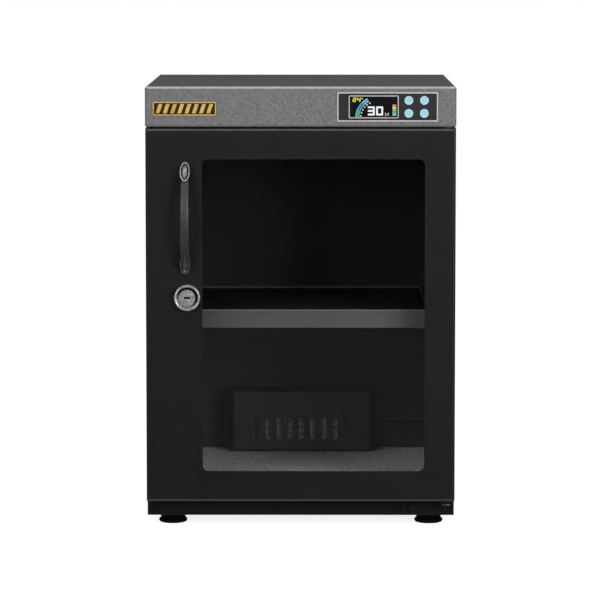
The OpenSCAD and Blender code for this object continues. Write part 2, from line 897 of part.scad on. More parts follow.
// The slotted cap under the ceiling, whose stem runs up into the head
module humidity_probe() {
    color([0.08, 0.08, 0.08]) translate([probe_x, probe_y, head_z - sheet_t]) difference() {
        union() {
            translate([0, 0, -probe_h]) cylinder(r = probe_r, h = probe_h);
            cylinder(r = probe_stem_r, h = probe_h);
        }
        for (i = [0:probe_slots - 1])
            rotate([0, 0, i * 180 / probe_slots])
                translate([-probe_r - over, -probe_slot_w / 2, -probe_h + probe_slot_w])
                    cube([2 * (probe_r + over), probe_slot_w, probe_slot_h]);
        translate([0, 0, -probe_h + probe_slot_w]) cylinder(r = probe_r / 2, h = probe_slot_h);
    }
}

// Hinges, strike and their fasteners

module lower_hinge_bracket() {
    color([0.05, 0.05, 0.052]) difference() {
        union() {
            translate([bracket_x - bracket_w / 2, frame_y - bracket_t, bracket_z])
                cube([bracket_w, bracket_t, bracket_h]);
            translate([hinge_x - tongue_half, tongue_y, tongue_z - bracket_t])
                cube([2 * tongue_half, frame_y - tongue_y, bracket_t]);
        }
        translate([hinge_x, hinge_y, tongue_z - bracket_t - over])
            cylinder(r = pin_r + pin_gap, h = bracket_t + 2 * over);
        for (p = bracket_screw_places)
            translate([p[0], frame_y - bracket_t - over, p[1]]) rotate([-90, 0, 0])
                cylinder(r = m4_r + fit_gap, h = bracket_t + 2 * over);
    }
}

// The plate inside the head that holds the upper pin
module upper_hinge_plate() {
    plate_y0 = front_y + sheet_t + bend_r;
    color([0.6, 0.6, 0.62]) translate([hinge_x, 0, head_z + sheet_t]) difference() {
        translate([-plate_half, plate_y0, 0]) cube([2 * plate_half, plate_y1 - plate_y0, bracket_t]);
        translate([0, hinge_y, -over]) cylinder(r = pin_r + pin_gap, h = bracket_t + 2 * over);
        for (y = plate_screws_y)
            translate([0, y, -over]) cylinder(r = m3_r + fit_gap, h = bracket_t + 2 * over);
    }
}

module hinge_pins() {
    color([0.7, 0.7, 0.72]) {
        translate([hinge_x, hinge_y, tongue_z - bracket_t]) {
            cylinder(r = pin_r, h = door_z0 + pin_depth - tongue_z + bracket_t);
            translate([0, 0, -rivet_t]) cylinder(r = rivet_r, h = rivet_t);
        }
        translate([hinge_x, hinge_y, door_z1 - pin_depth])
            cylinder(r = pin_r, h = head_z + sheet_t + bracket_t - door_z1 + pin_depth);
        translate([hinge_x, hinge_y, head_z + sheet_t + bracket_t]) cylinder(r = rivet_r, h = rivet_t);
    }
}

module hinge_screws() {
    color([0.1, 0.1, 0.1]) {
        for (p = bracket_screw_places)
            translate([p[0], frame_y - bracket_t, p[1]]) into_back()
                screw(m4_r, m4_head_r, m4_head_t, bracket_t + sheet_t + m4_r);
        for (y = plate_screws_y)
            translate([hinge_x, y, head_z + sheet_t + bracket_t])
                screw(m3_r, m3_head_r, m3_head_t, bracket_t + 2 * sheet_t + m3_r);
    }
}

module strike_plate() {
    color([0.6, 0.6, 0.62]) difference() {
        translate([strike_x, frame_y + sheet_t, lock_z])
            upright_extrude(strike_t) soft_rect(strike_w, strike_h, opening_r);
        for (z = [-1, 1])
            translate([strike_x, frame_y + sheet_t - over, lock_z + z * strike_h * strike_rivet_share])
                rotate([-90, 0, 0]) cylinder(r = m3_r + fit_gap, h = strike_t + 2 * over);
    }
}

module strike_rivets() {
    color([0.6, 0.6, 0.62]) for (z = [-1, 1])
        translate([strike_x, frame_y + sheet_t + strike_t, lock_z + z * strike_h * strike_rivet_share])
            into_front() screw(m3_r, m3_head_r, m3_head_t, strike_t + sheet_t);
}

// Door

module door_shell() {
    color([0.055, 0.057, 0.057]) difference() {
        translate([0, front_y, door_z0]) folded_pan(door_w, door_t, door_h);
        translate([window_cx, front_y - over, window_cz])
            upright_extrude(sheet_t + 2 * over) soft_rect(window_w, window_h, window_r);
        for (z = [door_z0, door_z1])
            translate([hinge_x, hinge_y, z - sheet_t - over])
                cylinder(r = bush_r + pin_gap, h = 2 * (sheet_t + over));
        translate([lock_x, front_y - over, lock_z]) sheet_hole(barrel_r + fit_gap);
        for (p = handle_screw_places)
            translate([p[0], front_y - over, p[1]]) sheet_hole(m4_r + fit_gap);
    }
}

module door_glass() {
    w = window_w + 2 * glass_overlap;
    h = window_h + 2 * glass_overlap;
    color([0.55, 0.6, 0.6, 0.25]) translate([window_cx, front_y + sheet_t + glass_lip_t, window_cz])
        upright_extrude(glass_t) square([w, h], center = true);
}

module glass_seal() {
    w = window_w + 2 * glass_overlap;
    h = window_h + 2 * glass_overlap;
    color([0.03, 0.03, 0.03]) difference() {
        translate([window_cx, front_y + sheet_t, window_cz]) upright_extrude(glass_seal_t)
            square([w + 2 * glass_lip_t, h + 2 * glass_lip_t], center = true);
        translate([window_cx, front_y + sheet_t + glass_lip_t, window_cz])
            upright_extrude(glass_t) square([w, h], center = true);
        translate([window_cx, front_y + sheet_t - over, window_cz]) upright_extrude(glass_seal_t + 2 * over)
            soft_rect(window_w + 2 * glass_sight, window_h + 2 * glass_sight, window_r);
    }
}

// The inner cover of the door, with a tunnel that presses the glass seal
module door_liner() {
    w = door_w - 2 * (sheet_t + fit_gap);
    h = door_h - 2 * (sheet_t + fit_gap);
    tunnel_y = front_y + sheet_t + glass_seal_t;
    hole_w = window_w + 2 * tunnel_margin;
    hole_h = window_h + 2 * tunnel_margin;
    color([0.055, 0.057, 0.057]) difference() {
        union() {
            translate([0, door_back_y - liner_t, (door_z0 + door_z1) / 2])
                upright_extrude(liner_t) square([w, h], center = true);
            translate([window_cx, tunnel_y, window_cz]) upright_extrude(door_back_y - liner_t - tunnel_y)
                soft_rect(hole_w + 2 * liner_t, hole_h + 2 * liner_t, window_r + liner_t);
        }
        translate([window_cx, tunnel_y - over, window_cz])
            upright_extrude(door_back_y - tunnel_y + 2 * over) soft_rect(hole_w, hole_h, window_r);
        translate([lock_x, door_back_y - liner_t - over, lock_z]) rotate([-90, 0, 0])
            cylinder(r = barrel_r + fit_gap, h = liner_t + 2 * over);
    }
}

// A magnetic seal strip all round: a flat base and a narrower bulb
module door_gasket() {
    w = door_w - 2 * gasket_inset;
    h = door_h - 2 * gasket_inset;
    bulb_in = (gasket_w - gasket_bulb_w) / 2;
    color([0.04, 0.04, 0.04]) translate([0, door_back_y, (door_z0 + door_z1) / 2]) {
        soft_ring(w, h, opening_r, w - 2 * gasket_w, h - 2 * gasket_w, opening_r / 2, gasket_base_t);
        translate([0, gasket_base_t, 0]) soft_ring(
            w - 2 * bulb_in, h - 2 * bulb_in, opening_r,
            w - 2 * (bulb_in + gasket_bulb_w), h - 2 * (bulb_in + gasket_bulb_w), opening_r / 2,
            seal_gap - run_gap - gasket_base_t
        );
    }
}

// A flanged nylon bush, its flange at z 0 and its sleeve running up
module hinge_bush() {
    difference() {
        union() {
            translate([0, 0, -bush_flange_t]) cylinder(r = bush_flange_r, h = bush_flange_t);
            cylinder(r = bush_r, h = pin_depth + run_gap);
        }
        translate([0, 0, -bush_flange_t - over])
            cylinder(r = pin_r + pin_gap, h = pin_depth + run_gap + bush_flange_t + 2 * over);
    }
}

module hinge_bushes() {
    color([0.85, 0.85, 0.82]) {
        translate([hinge_x, hinge_y, door_z0]) hinge_bush();
        translate([hinge_x, hinge_y, door_z1]) mirror([0, 0, 1]) hinge_bush();
    }
}

// Handle

// Places a piece on the bow's sloping end, its outer side towards -Y
module on_handle_end(side) {
    translate([handle_x, front_y - bow_sag + end_drop, handle_z + side * end_reach])
        rotate([side * -end_tilt, 0, 0]) children();
}

module handle() {
    color([0.24, 0.23, 0.24]) difference() {
        union() {
            translate([handle_x, front_y - bow_sag + bow_r, handle_z]) rotate([0, 90, 0])
                rotate([0, 0, 270 - bow_angle]) rotate_extrude(angle = 2 * bow_angle, $fn = 96)
                    translate([bow_r, 0]) soft_rect(handle_bar_t, handle_bar_w, bow_soft_r);
            for (s = [-1, 1])
                on_handle_end(s) translate([0, -handle_bar_t / 2 - ring_t / 2, 0])
                    upright_extrude(end_t + ring_t / 2) oval(handle_end_w, end_len);
        }
        translate([handle_x - handle_end_w, front_y, handle_z - handle_len])
            cube([2 * handle_end_w, handle_reach, 2 * handle_len]);
        for (s = [-1, 1])
            on_handle_end(s) translate([0, -handle_bar_t / 2 - ring_t / 2 - over, 0])
                upright_extrude(ring_t + over) oval(handle_end_w - 2 * ring_wall, end_len - 2 * ring_wall);
        for (p = handle_screw_places)
            translate([p[0], front_y - m4_head_r, p[1]]) rotate([-90, 0, 0])
                cylinder(r = m4_r + fit_gap, h = m4_head_r + over);
    }
}

// The bright ring and oval in each end
module handle_trims() {
    w = handle_end_w - 2 * (ring_wall + fit_gap);
    h = end_len - 2 * (ring_wall + fit_gap);
    core = 2 * (trim_band + trim_gap);
    color([0.8, 0.8, 0.8]) for (s = [-1, 1])
        on_handle_end(s) translate([0, -handle_bar_t / 2 - ring_t / 2 + ring_t - cap_t, 0])
            upright_extrude(cap_t) {
                difference() {
                    oval(w, h);
                    oval(w - 2 * trim_band, h - 2 * trim_band);
                }
                oval(w - core, h - core);
            }
}

module handle_screws() {
    color([0.6, 0.6, 0.62]) for (p = handle_screw_places)
        translate([p[0], front_y + sheet_t, p[1]]) into_front()
            screw(m4_r, m4_head_r, m4_head_t, sheet_t + m4_head_r - fit_gap);
}

// Lock

// A turned barrel: a round rim, a dish with a groove, the plug's seat and its bore
module lock_barrel() {
    rim_r = lock_rim_w / 2;
    seat_d = lock_dish + plug_head_t;
    rear_d = cam_y - run_gap - front_y + lock_reach;
    color([0.75, 0.75, 0.76]) translate([lock_x, front_y - lock_reach, lock_z]) rotate([-90, 0, 0])
        rotate_extrude() polygon([
            for (i = [0:lock_rim_steps]) [
                lock_r - rim_r + rim_r * cos(i * 180 / lock_rim_steps),
                rim_r - rim_r * sin(i * 180 / lock_rim_steps)
            ],
            [lock_r - lock_rim_w, lock_dish],
            [lock_groove_r, lock_dish],
            [lock_groove_r, lock_dish + lock_groove_d],
            [lock_groove_r - lock_groove_w, lock_dish + lock_groove_d],
            [lock_groove_r - lock_groove_w, lock_dish],
            [plug_head_r + fit_gap, lock_dish],
            [plug_head_r + fit_gap, seat_d],
            [plug_r + pin_gap, seat_d],
            [plug_r + pin_gap, rear_d],
            [barrel_r, rear_d],
            [barrel_r, lock_reach],
            [lock_r, lock_reach]
        ]);
}

module lock_nut() {
    color([0.6, 0.6, 0.62]) translate([lock_x, front_y + sheet_t, lock_z]) rotate([-90, 0, 0]) difference() {
        rotate([0, 0, 30]) cylinder(r = nut_flat / 2 / cos(30), h = nut_t, $fn = 6);
        translate([0, 0, -over]) cylinder(r = barrel_r + pin_gap, h = nut_t + 2 * over);
    }
}

// The plug that the key turns, its slot level at rest
module lock_plug() {
    face_y = front_y - lock_reach + lock_dish - fit_gap;
    color([0.8, 0.8, 0.8]) translate([lock_x, face_y, lock_z]) difference() {
        union() {
            rotate([-90, 0, 0]) cylinder(r = plug_head_r, h = plug_head_t);
            rotate([-90, 0, 0]) cylinder(r = plug_r, h = cam_y - face_y);
        }
        translate([0, -over, 0]) upright_extrude(key_depth + over) square([key_w, key_h], center = true);
        rotate([-90, 0, 0]) translate([0, 0, cam_y - face_y - key_depth])
            cylinder(r = m3_r + pin_gap, h = key_depth + over);
    }
}

// The cam stands up at rest, clear of the strike, and turns to the left to lock
module lock_cam() {
    color([0.65, 0.65, 0.66]) translate([lock_x, cam_y, lock_z]) difference() {
        upright_extrude(cam_t) union() {
            circle(plug_head_r);
            translate([-cam_w / 2, 0]) square([cam_w, cam_len - cam_w / 2]);
            translate([0, cam_len - cam_w / 2]) circle(cam_w / 2);
        }
        translate([0, -over, 0]) rotate([-90, 0, 0]) cylinder(r = m3_r + fit_gap, h = cam_t + 2 * over);
    }
}

module cam_screw() {
    color([0.6, 0.6, 0.62]) translate([lock_x, cam_y + cam_t, lock_z]) into_front()
        screw(m3_r, m3_head_r, m3_head_t, cam_t + key_depth - over);
}

// Shelf

// One slotted channel against a side wall
module shelf_upright(side, y) {
    x0 = inner_x - upright_d;
    translate([0, y, 0]) mirror([side < 0 ? 1 : 0, 0, 0]) difference() {
        translate([x0, -upright_w / 2, upright_z0]) cube([upright_d, upright_w, upright_z1 - upright_z0]);
        translate([x0 + sheet_t, -upright_w / 2 + sheet_t, upright_z0 - over])
            cube([upright_d, upright_w - 2 * sheet_t, upright_z1 - upright_z0 + 2 * over]);
        for (i = [0:slot_count - 1])
            translate([x0 - over, -slot_w / 2, slot_base + i * slot_pitch - slot_h / 2])
                cube([sheet_t + 2 * over, slot_w, slot_h]);
    }
}

module shelf_uprights() {
    color([0.1, 0.1, 0.102]) for (side = [-1, 1], y = upright_places) shelf_upright(side, y);
}

// A rail: a web on the uprights, a ledge under the tray and a guide beside it
module shelf_rail(side) {
    web_x = inner_x - upright_d - sheet_t;
    y0 = frame_y + sheet_t + tray_setback;
    mirror([side < 0 ? 1 : 0, 0, 0]) {
        translate([web_x, y0, rail_z]) cube([sheet_t, tray_d, rail_web_h]);
        translate([tray_w / 2 - rail_under, y0, rail_z])
            cube([web_x - tray_w / 2 + rail_under, tray_d, sheet_t]);
        translate([tray_w / 2 + run_gap, y0, rail_z]) cube([sheet_t, tray_d, sheet_t + rail_guide_h]);
        for (y = upright_places)
            translate([web_x, y - sheet_t / 2, rail_z + (rail_web_h - rail_hook_h) / 2])
                cube([rail_hook_d, sheet_t, rail_hook_h]);
    }
}

module shelf_rails() {
    color([0.1, 0.1, 0.102]) for (side = [-1, 1]) shelf_rail(side);
}

// A folded tray whose front lip is a closed hem
module shelf_tray() {
    color([0.3, 0.3, 0.3]) {
        difference() {
            translate([-tray_w / 2, tray_y0, tray_z]) cube([tray_w, tray_d, tray_h - lip_t / 2]);
            translate([-tray_w / 2 + sheet_t, tray_y0 + lip_t, tray_z + sheet_t])
                cube([tray_w - 2 * sheet_t, tray_d - lip_t - sheet_t, tray_h]);
        }
        translate([-tray_w / 2, tray_y0 + lip_t / 2, tray_z + tray_h - lip_t / 2]) rotate([0, 90, 0])
            cylinder(r = lip_t / 2, h = tray_w);
    }
}

module shelf_mat() {
    color([0.06, 0.06, 0.06])
        translate([0, (tray_y0 + lip_t + tray_y1 - sheet_t) / 2, tray_z + sheet_t])
            linear_extrude(tray_h - sheet_t - tray_mat_drop)
                soft_rect(tray_w - 2 * (sheet_t + mat_gap), tray_d - lip_t - sheet_t - 2 * mat_gap, mat_r);
}

module floor_mat() {
    color([0.35, 0.35, 0.35]) translate([0, (frame_y + back_y) / 2, floor_z]) linear_extrude(mat_t)
        soft_rect(2 * (inner_x - mat_gap), back_y - frame_y - 2 * (bend_r + sheet_t), mat_r);
}

// Drying unit

// The vented housing on the rear wall, with a boss for a screw in each corner
module dryer_housing() {
    in_w = dryer_w - 2 * dryer_wall;
    in_h = dryer_h - 2 * dryer_wall;
    color([0.05, 0.05, 0.05]) difference() {
        union() {
            difference() {
                translate([0, dryer_y, dryer_z]) bent_block(dryer_w, dryer_d, dryer_h, bend_r);
                translate([-in_w / 2, dryer_y + dryer_wall, dryer_z + dryer_wall])
                    cube([in_w, dryer_d, in_h]);
            }
            for (p = boss_places)
                translate([p[0], wall_y, p[1]]) rotate([90, 0, 0])
                    cylinder(r = boss_r, h = dryer_d - dryer_wall);
        }
        for (p = boss_places)
            translate([p[0], wall_y + over, p[1]]) rotate([90, 0, 0])
                cylinder(r = m3_r + pin_gap, h = boss_depth + 2 * over);
        translate([0, dryer_y - over, vent_z]) upright_extrude(dryer_wall + 2 * over) vent_slots(0);
        translate([dryer_w / 2 - dryer_wall - over, loom_y, loom_z]) rotate([0, 90, 0])
            cylinder(r = loom_r + fit_gap, h = dryer_wall + 2 * over);
    }
}

// The perforated desiccant block on its two feet
module desiccant_pack() {
    color([0.75, 0.72, 0.65]) {
        difference() {
            translate([-cassette_w / 2, cassette_y, cassette_z]) cube([cassette_w, cassette_t, cassette_h]);
            for (i = [-cassette_cols:cassette_cols], k = [-cassette_rows:cassette_rows])
                translate([i * cassette_pitch, cassette_y - over, vent_z + k * cassette_pitch])
                    rotate([-90, 0, 0]) cylinder(r = cassette_r, h = cassette_t + 2 * over);
        }
        for (x = [-1, 1])
            translate([x * (cassette_w - saddle_w) / 2 - saddle_w / 2, cassette_y, dryer_z + dryer_wall])
                cube([saddle_w, cassette_t, cassette_z - dryer_z - dryer_wall]);
    }
}

module heater_plate() {
    color([0.7, 0.7, 0.72]) translate([-cassette_w / 2, cassette_y + cassette_t, cassette_z])
        cube([cassette_w, heater_t, cassette_h]);
}

// Two slotted plates joined over the pack: one closes as the other opens
module vent_shutter() {
    front = dryer_y + dryer_wall + shutter_gap;
    rear = wall_y - shutter_gap - shutter_t;
    socket_x = actuator_x + actuator_len - plunger_depth;
    color([0.7, 0.7, 0.7]) {
        translate([0, front, vent_z]) upright_extrude(shutter_t) difference() {
            square([shutter_w, shutter_h], center = true);
            vent_slots(0);
        }
        translate([0, rear, vent_z]) upright_extrude(shutter_t) difference() {
            square([shutter_w, shutter_h], center = true);
            vent_slots(-shutter_travel);
        }
        for (y = [front, rear])
            translate([link_x, y, link_z]) cube([link_w, shutter_t, actuator_z + plunger_r - link_z]);
        translate([link_x, front, actuator_z - plunger_r])
            cube([link_w, rear + shutter_t - front, 2 * plunger_r]);
        translate([socket_x, actuator_y, actuator_z]) rotate([0, 90, 0])
            cylinder(r = plunger_r, h = link_x - socket_x);
    }
}

// The sleeve that pushes the shutter, hung from the housing's roof
module shutter_actuator() {
    color([0.55, 0.45, 0.2]) difference() {
        union() {
            translate([actuator_x, actuator_y, actuator_z]) rotate([0, 90, 0])
                cylinder(r = actuator_r, h = actuator_len);
            translate([actuator_x, actuator_y - saddle_w / 2, actuator_z])
                cube([actuator_len, saddle_w, dryer_z + dryer_h - dryer_wall - actuator_z]);
        }
        translate([actuator_x + actuator_len - plunger_depth - run_gap, actuator_y, actuator_z])
            rotate([0, 90, 0]) cylinder(r = plunger_r + run_gap, h = plunger_depth + run_gap + over);
    }
}

// The louvred cover outside the rear vents
module rear_cowl() {
    color([0.05, 0.05, 0.05]) difference() {
        translate([0, back_y + cowl_reach, dryer_z]) mirror([0, 1, 0])
            bent_block(dryer_w, cowl_reach, dryer_h, bend_r);
        translate([0, back_y - over, vent_z]) upright_extrude(cowl_reach - cowl_wall + over)
            soft_rect(cowl_pocket_w, cowl_pocket_h, bend_r);
        for (i = [0:cowl_slots - 1])
            translate([0, back_y - over, vent_z + (i - (cowl_slots - 1) / 2) * 2 * cowl_slot_h])
                upright_extrude(cowl_reach + 2 * over)
                    square([cowl_pocket_w - 4 * cowl_wall, cowl_slot_h], center = true);
        for (p = boss_places) {
            translate([p[0], back_y - over, p[1]]) rotate([-90, 0, 0])
                cylinder(r = m3_r + fit_gap, h = cowl_reach + 2 * over);
            translate([p[0], back_y + cowl_reach - m3_head_t, p[1]]) rotate([-90, 0, 0])
                cylinder(r = m3_head_r + fit_gap, h = m3_head_t + over);
        }
    }
}

// The screws that clamp the cowl, the rear panel and the housing together
module dryer_screws() {
    seat = cowl_reach - m3_head_t;
    color([0.6, 0.6, 0.62]) for (p = boss_places)
        translate([p[0], back_y + seat, p[1]]) into_front()
            screw(m3_r, m3_head_r, m3_head_t - fit_gap, seat + sheet_t + boss_depth);
}

// A quarter turn of wire in the x-z plane, from straight up at the origin to level towards -X
module wire_bend(turn) {
    translate([-loom_bend, 0, 0]) rotate([90, 0, 0]) rotate([0, 0, turn]) rotate_extrude(angle = 90)
        translate([loom_bend, 0]) circle(loom_r, $fn = 24);
}

// The bound wires: one from the supply down to the drying unit, one to the control board
module wire_loom() {
    turn_low = loom_z + loom_bend;
    turn_high = power_z - loom_bend;
    color([0.03, 0.03, 0.03]) {
        translate([loom_x, loom_y, turn_low]) cylinder(r = loom_r, h = turn_high - turn_low, $fn = 24);
        translate([loom_x, loom_y, turn_high]) wire_bend(0);
        translate([loom_x, loom_y, turn_low]) wire_bend(-90);
        for (leg = [[power_x + power_w / 2, power_z], [cassette_w / 2, loom_z]])
            translate([leg[0], loom_y, leg[1]]) rotate([0, 90, 0])
                cylinder(r = loom_r, h = loom_x - loom_bend - leg[0], $fn = 24);
        translate([lead_x, board_y + board_t, power_z]) rotate([-90, 0, 0])
            cylinder(r = loom_r, h = power_y - power_d / 2 - board_y - board_t, $fn = 24);
    }
}

front_frame();
side_panel_left();
side_panel_right();
floor_panel();
head_deck();
rear_panel();
feet();
foot_screws();
head_cover();
head_rear_panel();
head_screws();
badge_plate();
display_bezel();
display_panel();
lcd_frame();
lcd_screen();
lcd_backlight();
button_up();
button_down();
button_mode();
button_lamp();
control_board();
board_standoffs();
key_switches();
power_board();
power_inlet();
humidity_probe();
lower_hinge_bracket();
upper_hinge_plate();
hinge_pins();
hinge_screws();
strike_plate();
strike_rivets();
door_shell();
door_glass();
glass_seal();
door_liner();
door_gasket();
hinge_bushes();
handle();
handle_trims();
handle_screws();
lock_barrel();
lock_nut();
lock_plug();
lock_cam();
cam_screw();
shelf_uprights();
shelf_rails();
shelf_tray();
shelf_mat();
floor_mat();
dryer_housing();
desiccant_pack();
heater_plate();
vent_shutter();
shutter_actuator();
rear_cowl();
dryer_screws();
wire_loom();
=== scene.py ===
"""Dresses a camera dry cabinet: its steel shell, control head, glazed door, shelf and drying unit.

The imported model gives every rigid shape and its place. This script adds the finishes, the screws with
their cross recesses, the display's figures, the signs on the keys, the shutter in the key slot and the foam
mats, and sets the studio. Lengths are in metres in the row frame: +Z up, the front towards -Y, the hinge
side at +X.
"""

import json
import logging
import math
from dataclasses import dataclass, field, replace
from enum import Enum
from functools import reduce
from typing import Callable, Dict, List, Optional, Sequence, Tuple, Union

import bmesh
import bpy
import numpy as np
from mathutils import Matrix, Vector

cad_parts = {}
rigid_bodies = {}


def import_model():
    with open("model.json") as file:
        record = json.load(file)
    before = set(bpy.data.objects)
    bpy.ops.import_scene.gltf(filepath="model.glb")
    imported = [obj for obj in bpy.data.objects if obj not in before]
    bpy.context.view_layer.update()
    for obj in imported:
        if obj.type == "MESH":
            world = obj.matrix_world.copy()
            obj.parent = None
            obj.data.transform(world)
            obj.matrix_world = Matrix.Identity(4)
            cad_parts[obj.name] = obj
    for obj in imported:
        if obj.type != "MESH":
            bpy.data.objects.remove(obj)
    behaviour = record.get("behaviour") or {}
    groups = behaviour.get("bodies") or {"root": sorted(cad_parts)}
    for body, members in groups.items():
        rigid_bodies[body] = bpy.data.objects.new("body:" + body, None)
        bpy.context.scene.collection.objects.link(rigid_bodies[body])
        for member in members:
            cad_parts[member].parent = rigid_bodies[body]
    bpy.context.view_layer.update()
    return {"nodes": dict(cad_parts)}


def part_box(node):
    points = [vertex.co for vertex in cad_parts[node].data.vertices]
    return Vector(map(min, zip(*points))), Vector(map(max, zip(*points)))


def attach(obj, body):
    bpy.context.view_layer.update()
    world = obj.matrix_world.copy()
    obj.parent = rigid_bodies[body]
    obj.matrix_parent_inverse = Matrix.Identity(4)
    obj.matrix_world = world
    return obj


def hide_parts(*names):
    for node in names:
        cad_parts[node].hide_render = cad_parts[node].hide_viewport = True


LOG = logging.getLogger("dry_cabinet")
MM = 0.001
# Corners closer than this count as one
WELD = 0.001 * MM
Flat = Tuple[float, float]
Point = Tuple[float, float, float]
Rgb = Tuple[float, float, float]
Socket = bpy.types.NodeSocket
Value = Union[Socket, float, Sequence[float]]


def clear_defaults() -> None:
    """Removes what a fresh Blender file starts with."""
    for found in list(bpy.data.objects):
        bpy.data.objects.remove(found)


clear_defaults()
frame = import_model()


# Shader trees


class Links:
    """Adds nodes to a tree and joins them, with short calls."""

    # The Mix node's colour sockets, which share their names with its other kinds
    MIX_LOW, MIX_HIGH, MIX_OUT = 6, 7, 2

    def __init__(self, tree: bpy.types.NodeTree) -> None:
        """Takes the node tree that the nodes go into."""
        self.tree = tree

    def node(self, kind: str, **settings: object) -> bpy.types.Node:
        """Adds a node.

        Args:
            kind: the node's type name in Blender.
            settings: properties to set on it.

        Returns:
            The new node.
        """
        made = self.tree.nodes.new(kind)
        for key, value in settings.items():
            setattr(made, key, value)
        return made

    def join(self, source: Socket, target: Socket) -> None:
        """Links one output to one input."""
        self.tree.links.new(source, target)

    def feed(self, value: Value, target: Socket) -> None:
        """Links a socket to an input, or sets the input to a plain value.

        Args:
            value: the socket or the plain value.
            target: the input.
        """
        if isinstance(value, Socket):
            self.join(value, target)
        else:
            target.default_value = value

    def fill(self, made: bpy.types.Node, values: Dict[str, Value]) -> bpy.types.Node:
        """Feeds some of a node's inputs.

        Args:
            made: the node.
            values: a socket or a plain value for each input, by the input's name.

        Returns:
            The same node.
        """
        for name, value in values.items():
            self.feed(value, made.inputs[name])
        return made

    def show(self, shader: Socket, kind: str = "ShaderNodeOutputMaterial") -> None:
        """Makes a shader the output of the tree."""
        self.join(shader, self.node(kind).inputs[0])

    def place(self) -> Socket:
        """Gives the point on the surface, in the object's own coordinates."""
        return self.node("ShaderNodeTexCoord").outputs["Object"]

    def normal(self) -> Socket:
        """Gives the way that the surface faces."""
        return self.node("ShaderNodeNewGeometry").outputs["Normal"]

    def split(self, vector: Socket) -> Tuple[Socket, ...]:
        """Splits a vector.

        Args:
            vector: a socket with a point or a direction.

        Returns:
            Its X, Y and Z.
        """
        made = self.node("ShaderNodeSeparateXYZ")
        self.join(vector, made.inputs[0])
        return tuple(made.outputs)

    def from_axis(self, axis: Flat) -> Tuple[Socket, Socket]:
        """Gives how far the surface is across and above an axis that runs from front to back."""
        x, _, z = self.split(self.place())
        return self.math("SUBTRACT", x, axis[0]), self.math("SUBTRACT", z, axis[1])

    def noise(self, **values: Value) -> Socket:
        """Adds a noise, over the object's own coordinates unless a Vector is given.

        Args:
            values: a socket or a number for each input, by the input's name.

        Returns:
            Its value, which wanders about the middle between 0 and 1.
        """
        if "Vector" not in values:
            values["Vector"] = self.place()
        return self.fill(self.node("ShaderNodeTexNoise"), values).outputs["Fac"]

    def math(self, how: str, first: Value, second: Value = 0.0) -> Socket:
        """Adds a Math node.

        Args:
            how: its operation.
            first: a socket or a number.
            second: a socket or a number.

        Returns:
            Its output.
        """
        made = self.node("ShaderNodeMath", operation=how)
        for place, value in enumerate((first, second)):
            self.feed(value, made.inputs[place])
        return made.outputs[0]

    def product(self, *factors: Value) -> Socket:
        """Multiplies sockets and numbers."""
        return reduce(lambda first, second: self.math("MULTIPLY", first, second), factors)

    def total(self, *terms: Value) -> Socket:
        """Adds up sockets and numbers."""
        return reduce(lambda first, second: self.math("ADD", first, second), terms)

    def length(self, across: Socket, along: Socket) -> Socket:
        """Gives the distance that two distances at a right angle make."""
        return self.math("SQRT", self.total(self.product(across, across), self.product(along, along)))

    def span(
        self, value: Socket, low: float, high: float, to_low: Value = 0.0, to_high: Value = 1.0
    ) -> Socket:
        """Adds a clamped Map Range.

        Args:
            value: what is mapped.
            low: the value that becomes to_low.
            high: the value that becomes to_high.
            to_low: a socket or a number.
            to_high: a socket or a number.

        Returns:
            The mapped value.
        """
        made = self.fill(self.node("ShaderNodeMapRange", clamp=True), {
            "Value": value, "From Min": low, "From Max": high, "To Min": to_low, "To Max": to_high,
        })
        return made.outputs["Result"]

    def band(self, value: Socket, low: float, high: float, soft: float) -> Socket:
        """Marks the values between two limits.

        Args:
            value: what is looked at.
            low: the lower limit.
            high: the upper limit.
            soft: how far each limit is blurred to either side.

        Returns:
            1 between the limits and 0 beyond them.
        """
        above = self.span(value, low - soft, low + soft)
        below = self.span(value, high + soft, high - soft)
        return self.product(above, below)

    def blend(self, share: Socket, low: Value, high: Value) -> Socket:
        """Adds a colour mix.

        Args:
            share: how much of high shows.
            low: a socket or a colour.
            high: a socket or a colour.

        Returns:
            The mixed colour.
        """
        made = self.node("ShaderNodeMix", data_type="RGBA")
        self.join(share, made.inputs["Factor"])
        for place, value in ((self.MIX_LOW, low), (self.MIX_HIGH, high)):
            self.feed(value if isinstance(value, Socket) else (*value, 1.0), made.inputs[place])
        return made.outputs[self.MIX_OUT]

    def mix(self, share: Socket, first: Socket, second: Socket) -> Socket:
        """Mixes two shaders.

        Args:
            share: how much of the second one shows.
            first: a shader's output.
            second: a shader's output.

        Returns:
            The mixed shader.
        """
        made = self.node("ShaderNodeMixShader")
        for place, source in enumerate((share, first, second)):
            self.join(source, made.inputs[place])
        return made.outputs[0]


def blank_material(name: str) -> Tuple[bpy.types.Material, Links]:
    """Makes a material with an empty node tree.

    Args:
        name: its name.

    Returns:
        The material, and the links helper of its tree.
    """
    made = bpy.data.materials.new(name)
    made.use_nodes = True
    made.node_tree.nodes.clear()
    return made, Links(made.node_tree)


class Effect(Enum):
    """The surface effects that several finishes share."""

    GRAIN = "Fine grain"
    WEAR = "Edge wear"
    DUST = "Settled dust"
    SMUDGE = "Handling marks"
    BRUSH = "Brushed lines"
    FLECK = "Mixed flecks"
    # Painted highlight: level bends take a lighter colour, where a lamp's reflection would show
    BEND = "Thin coat on level bends"


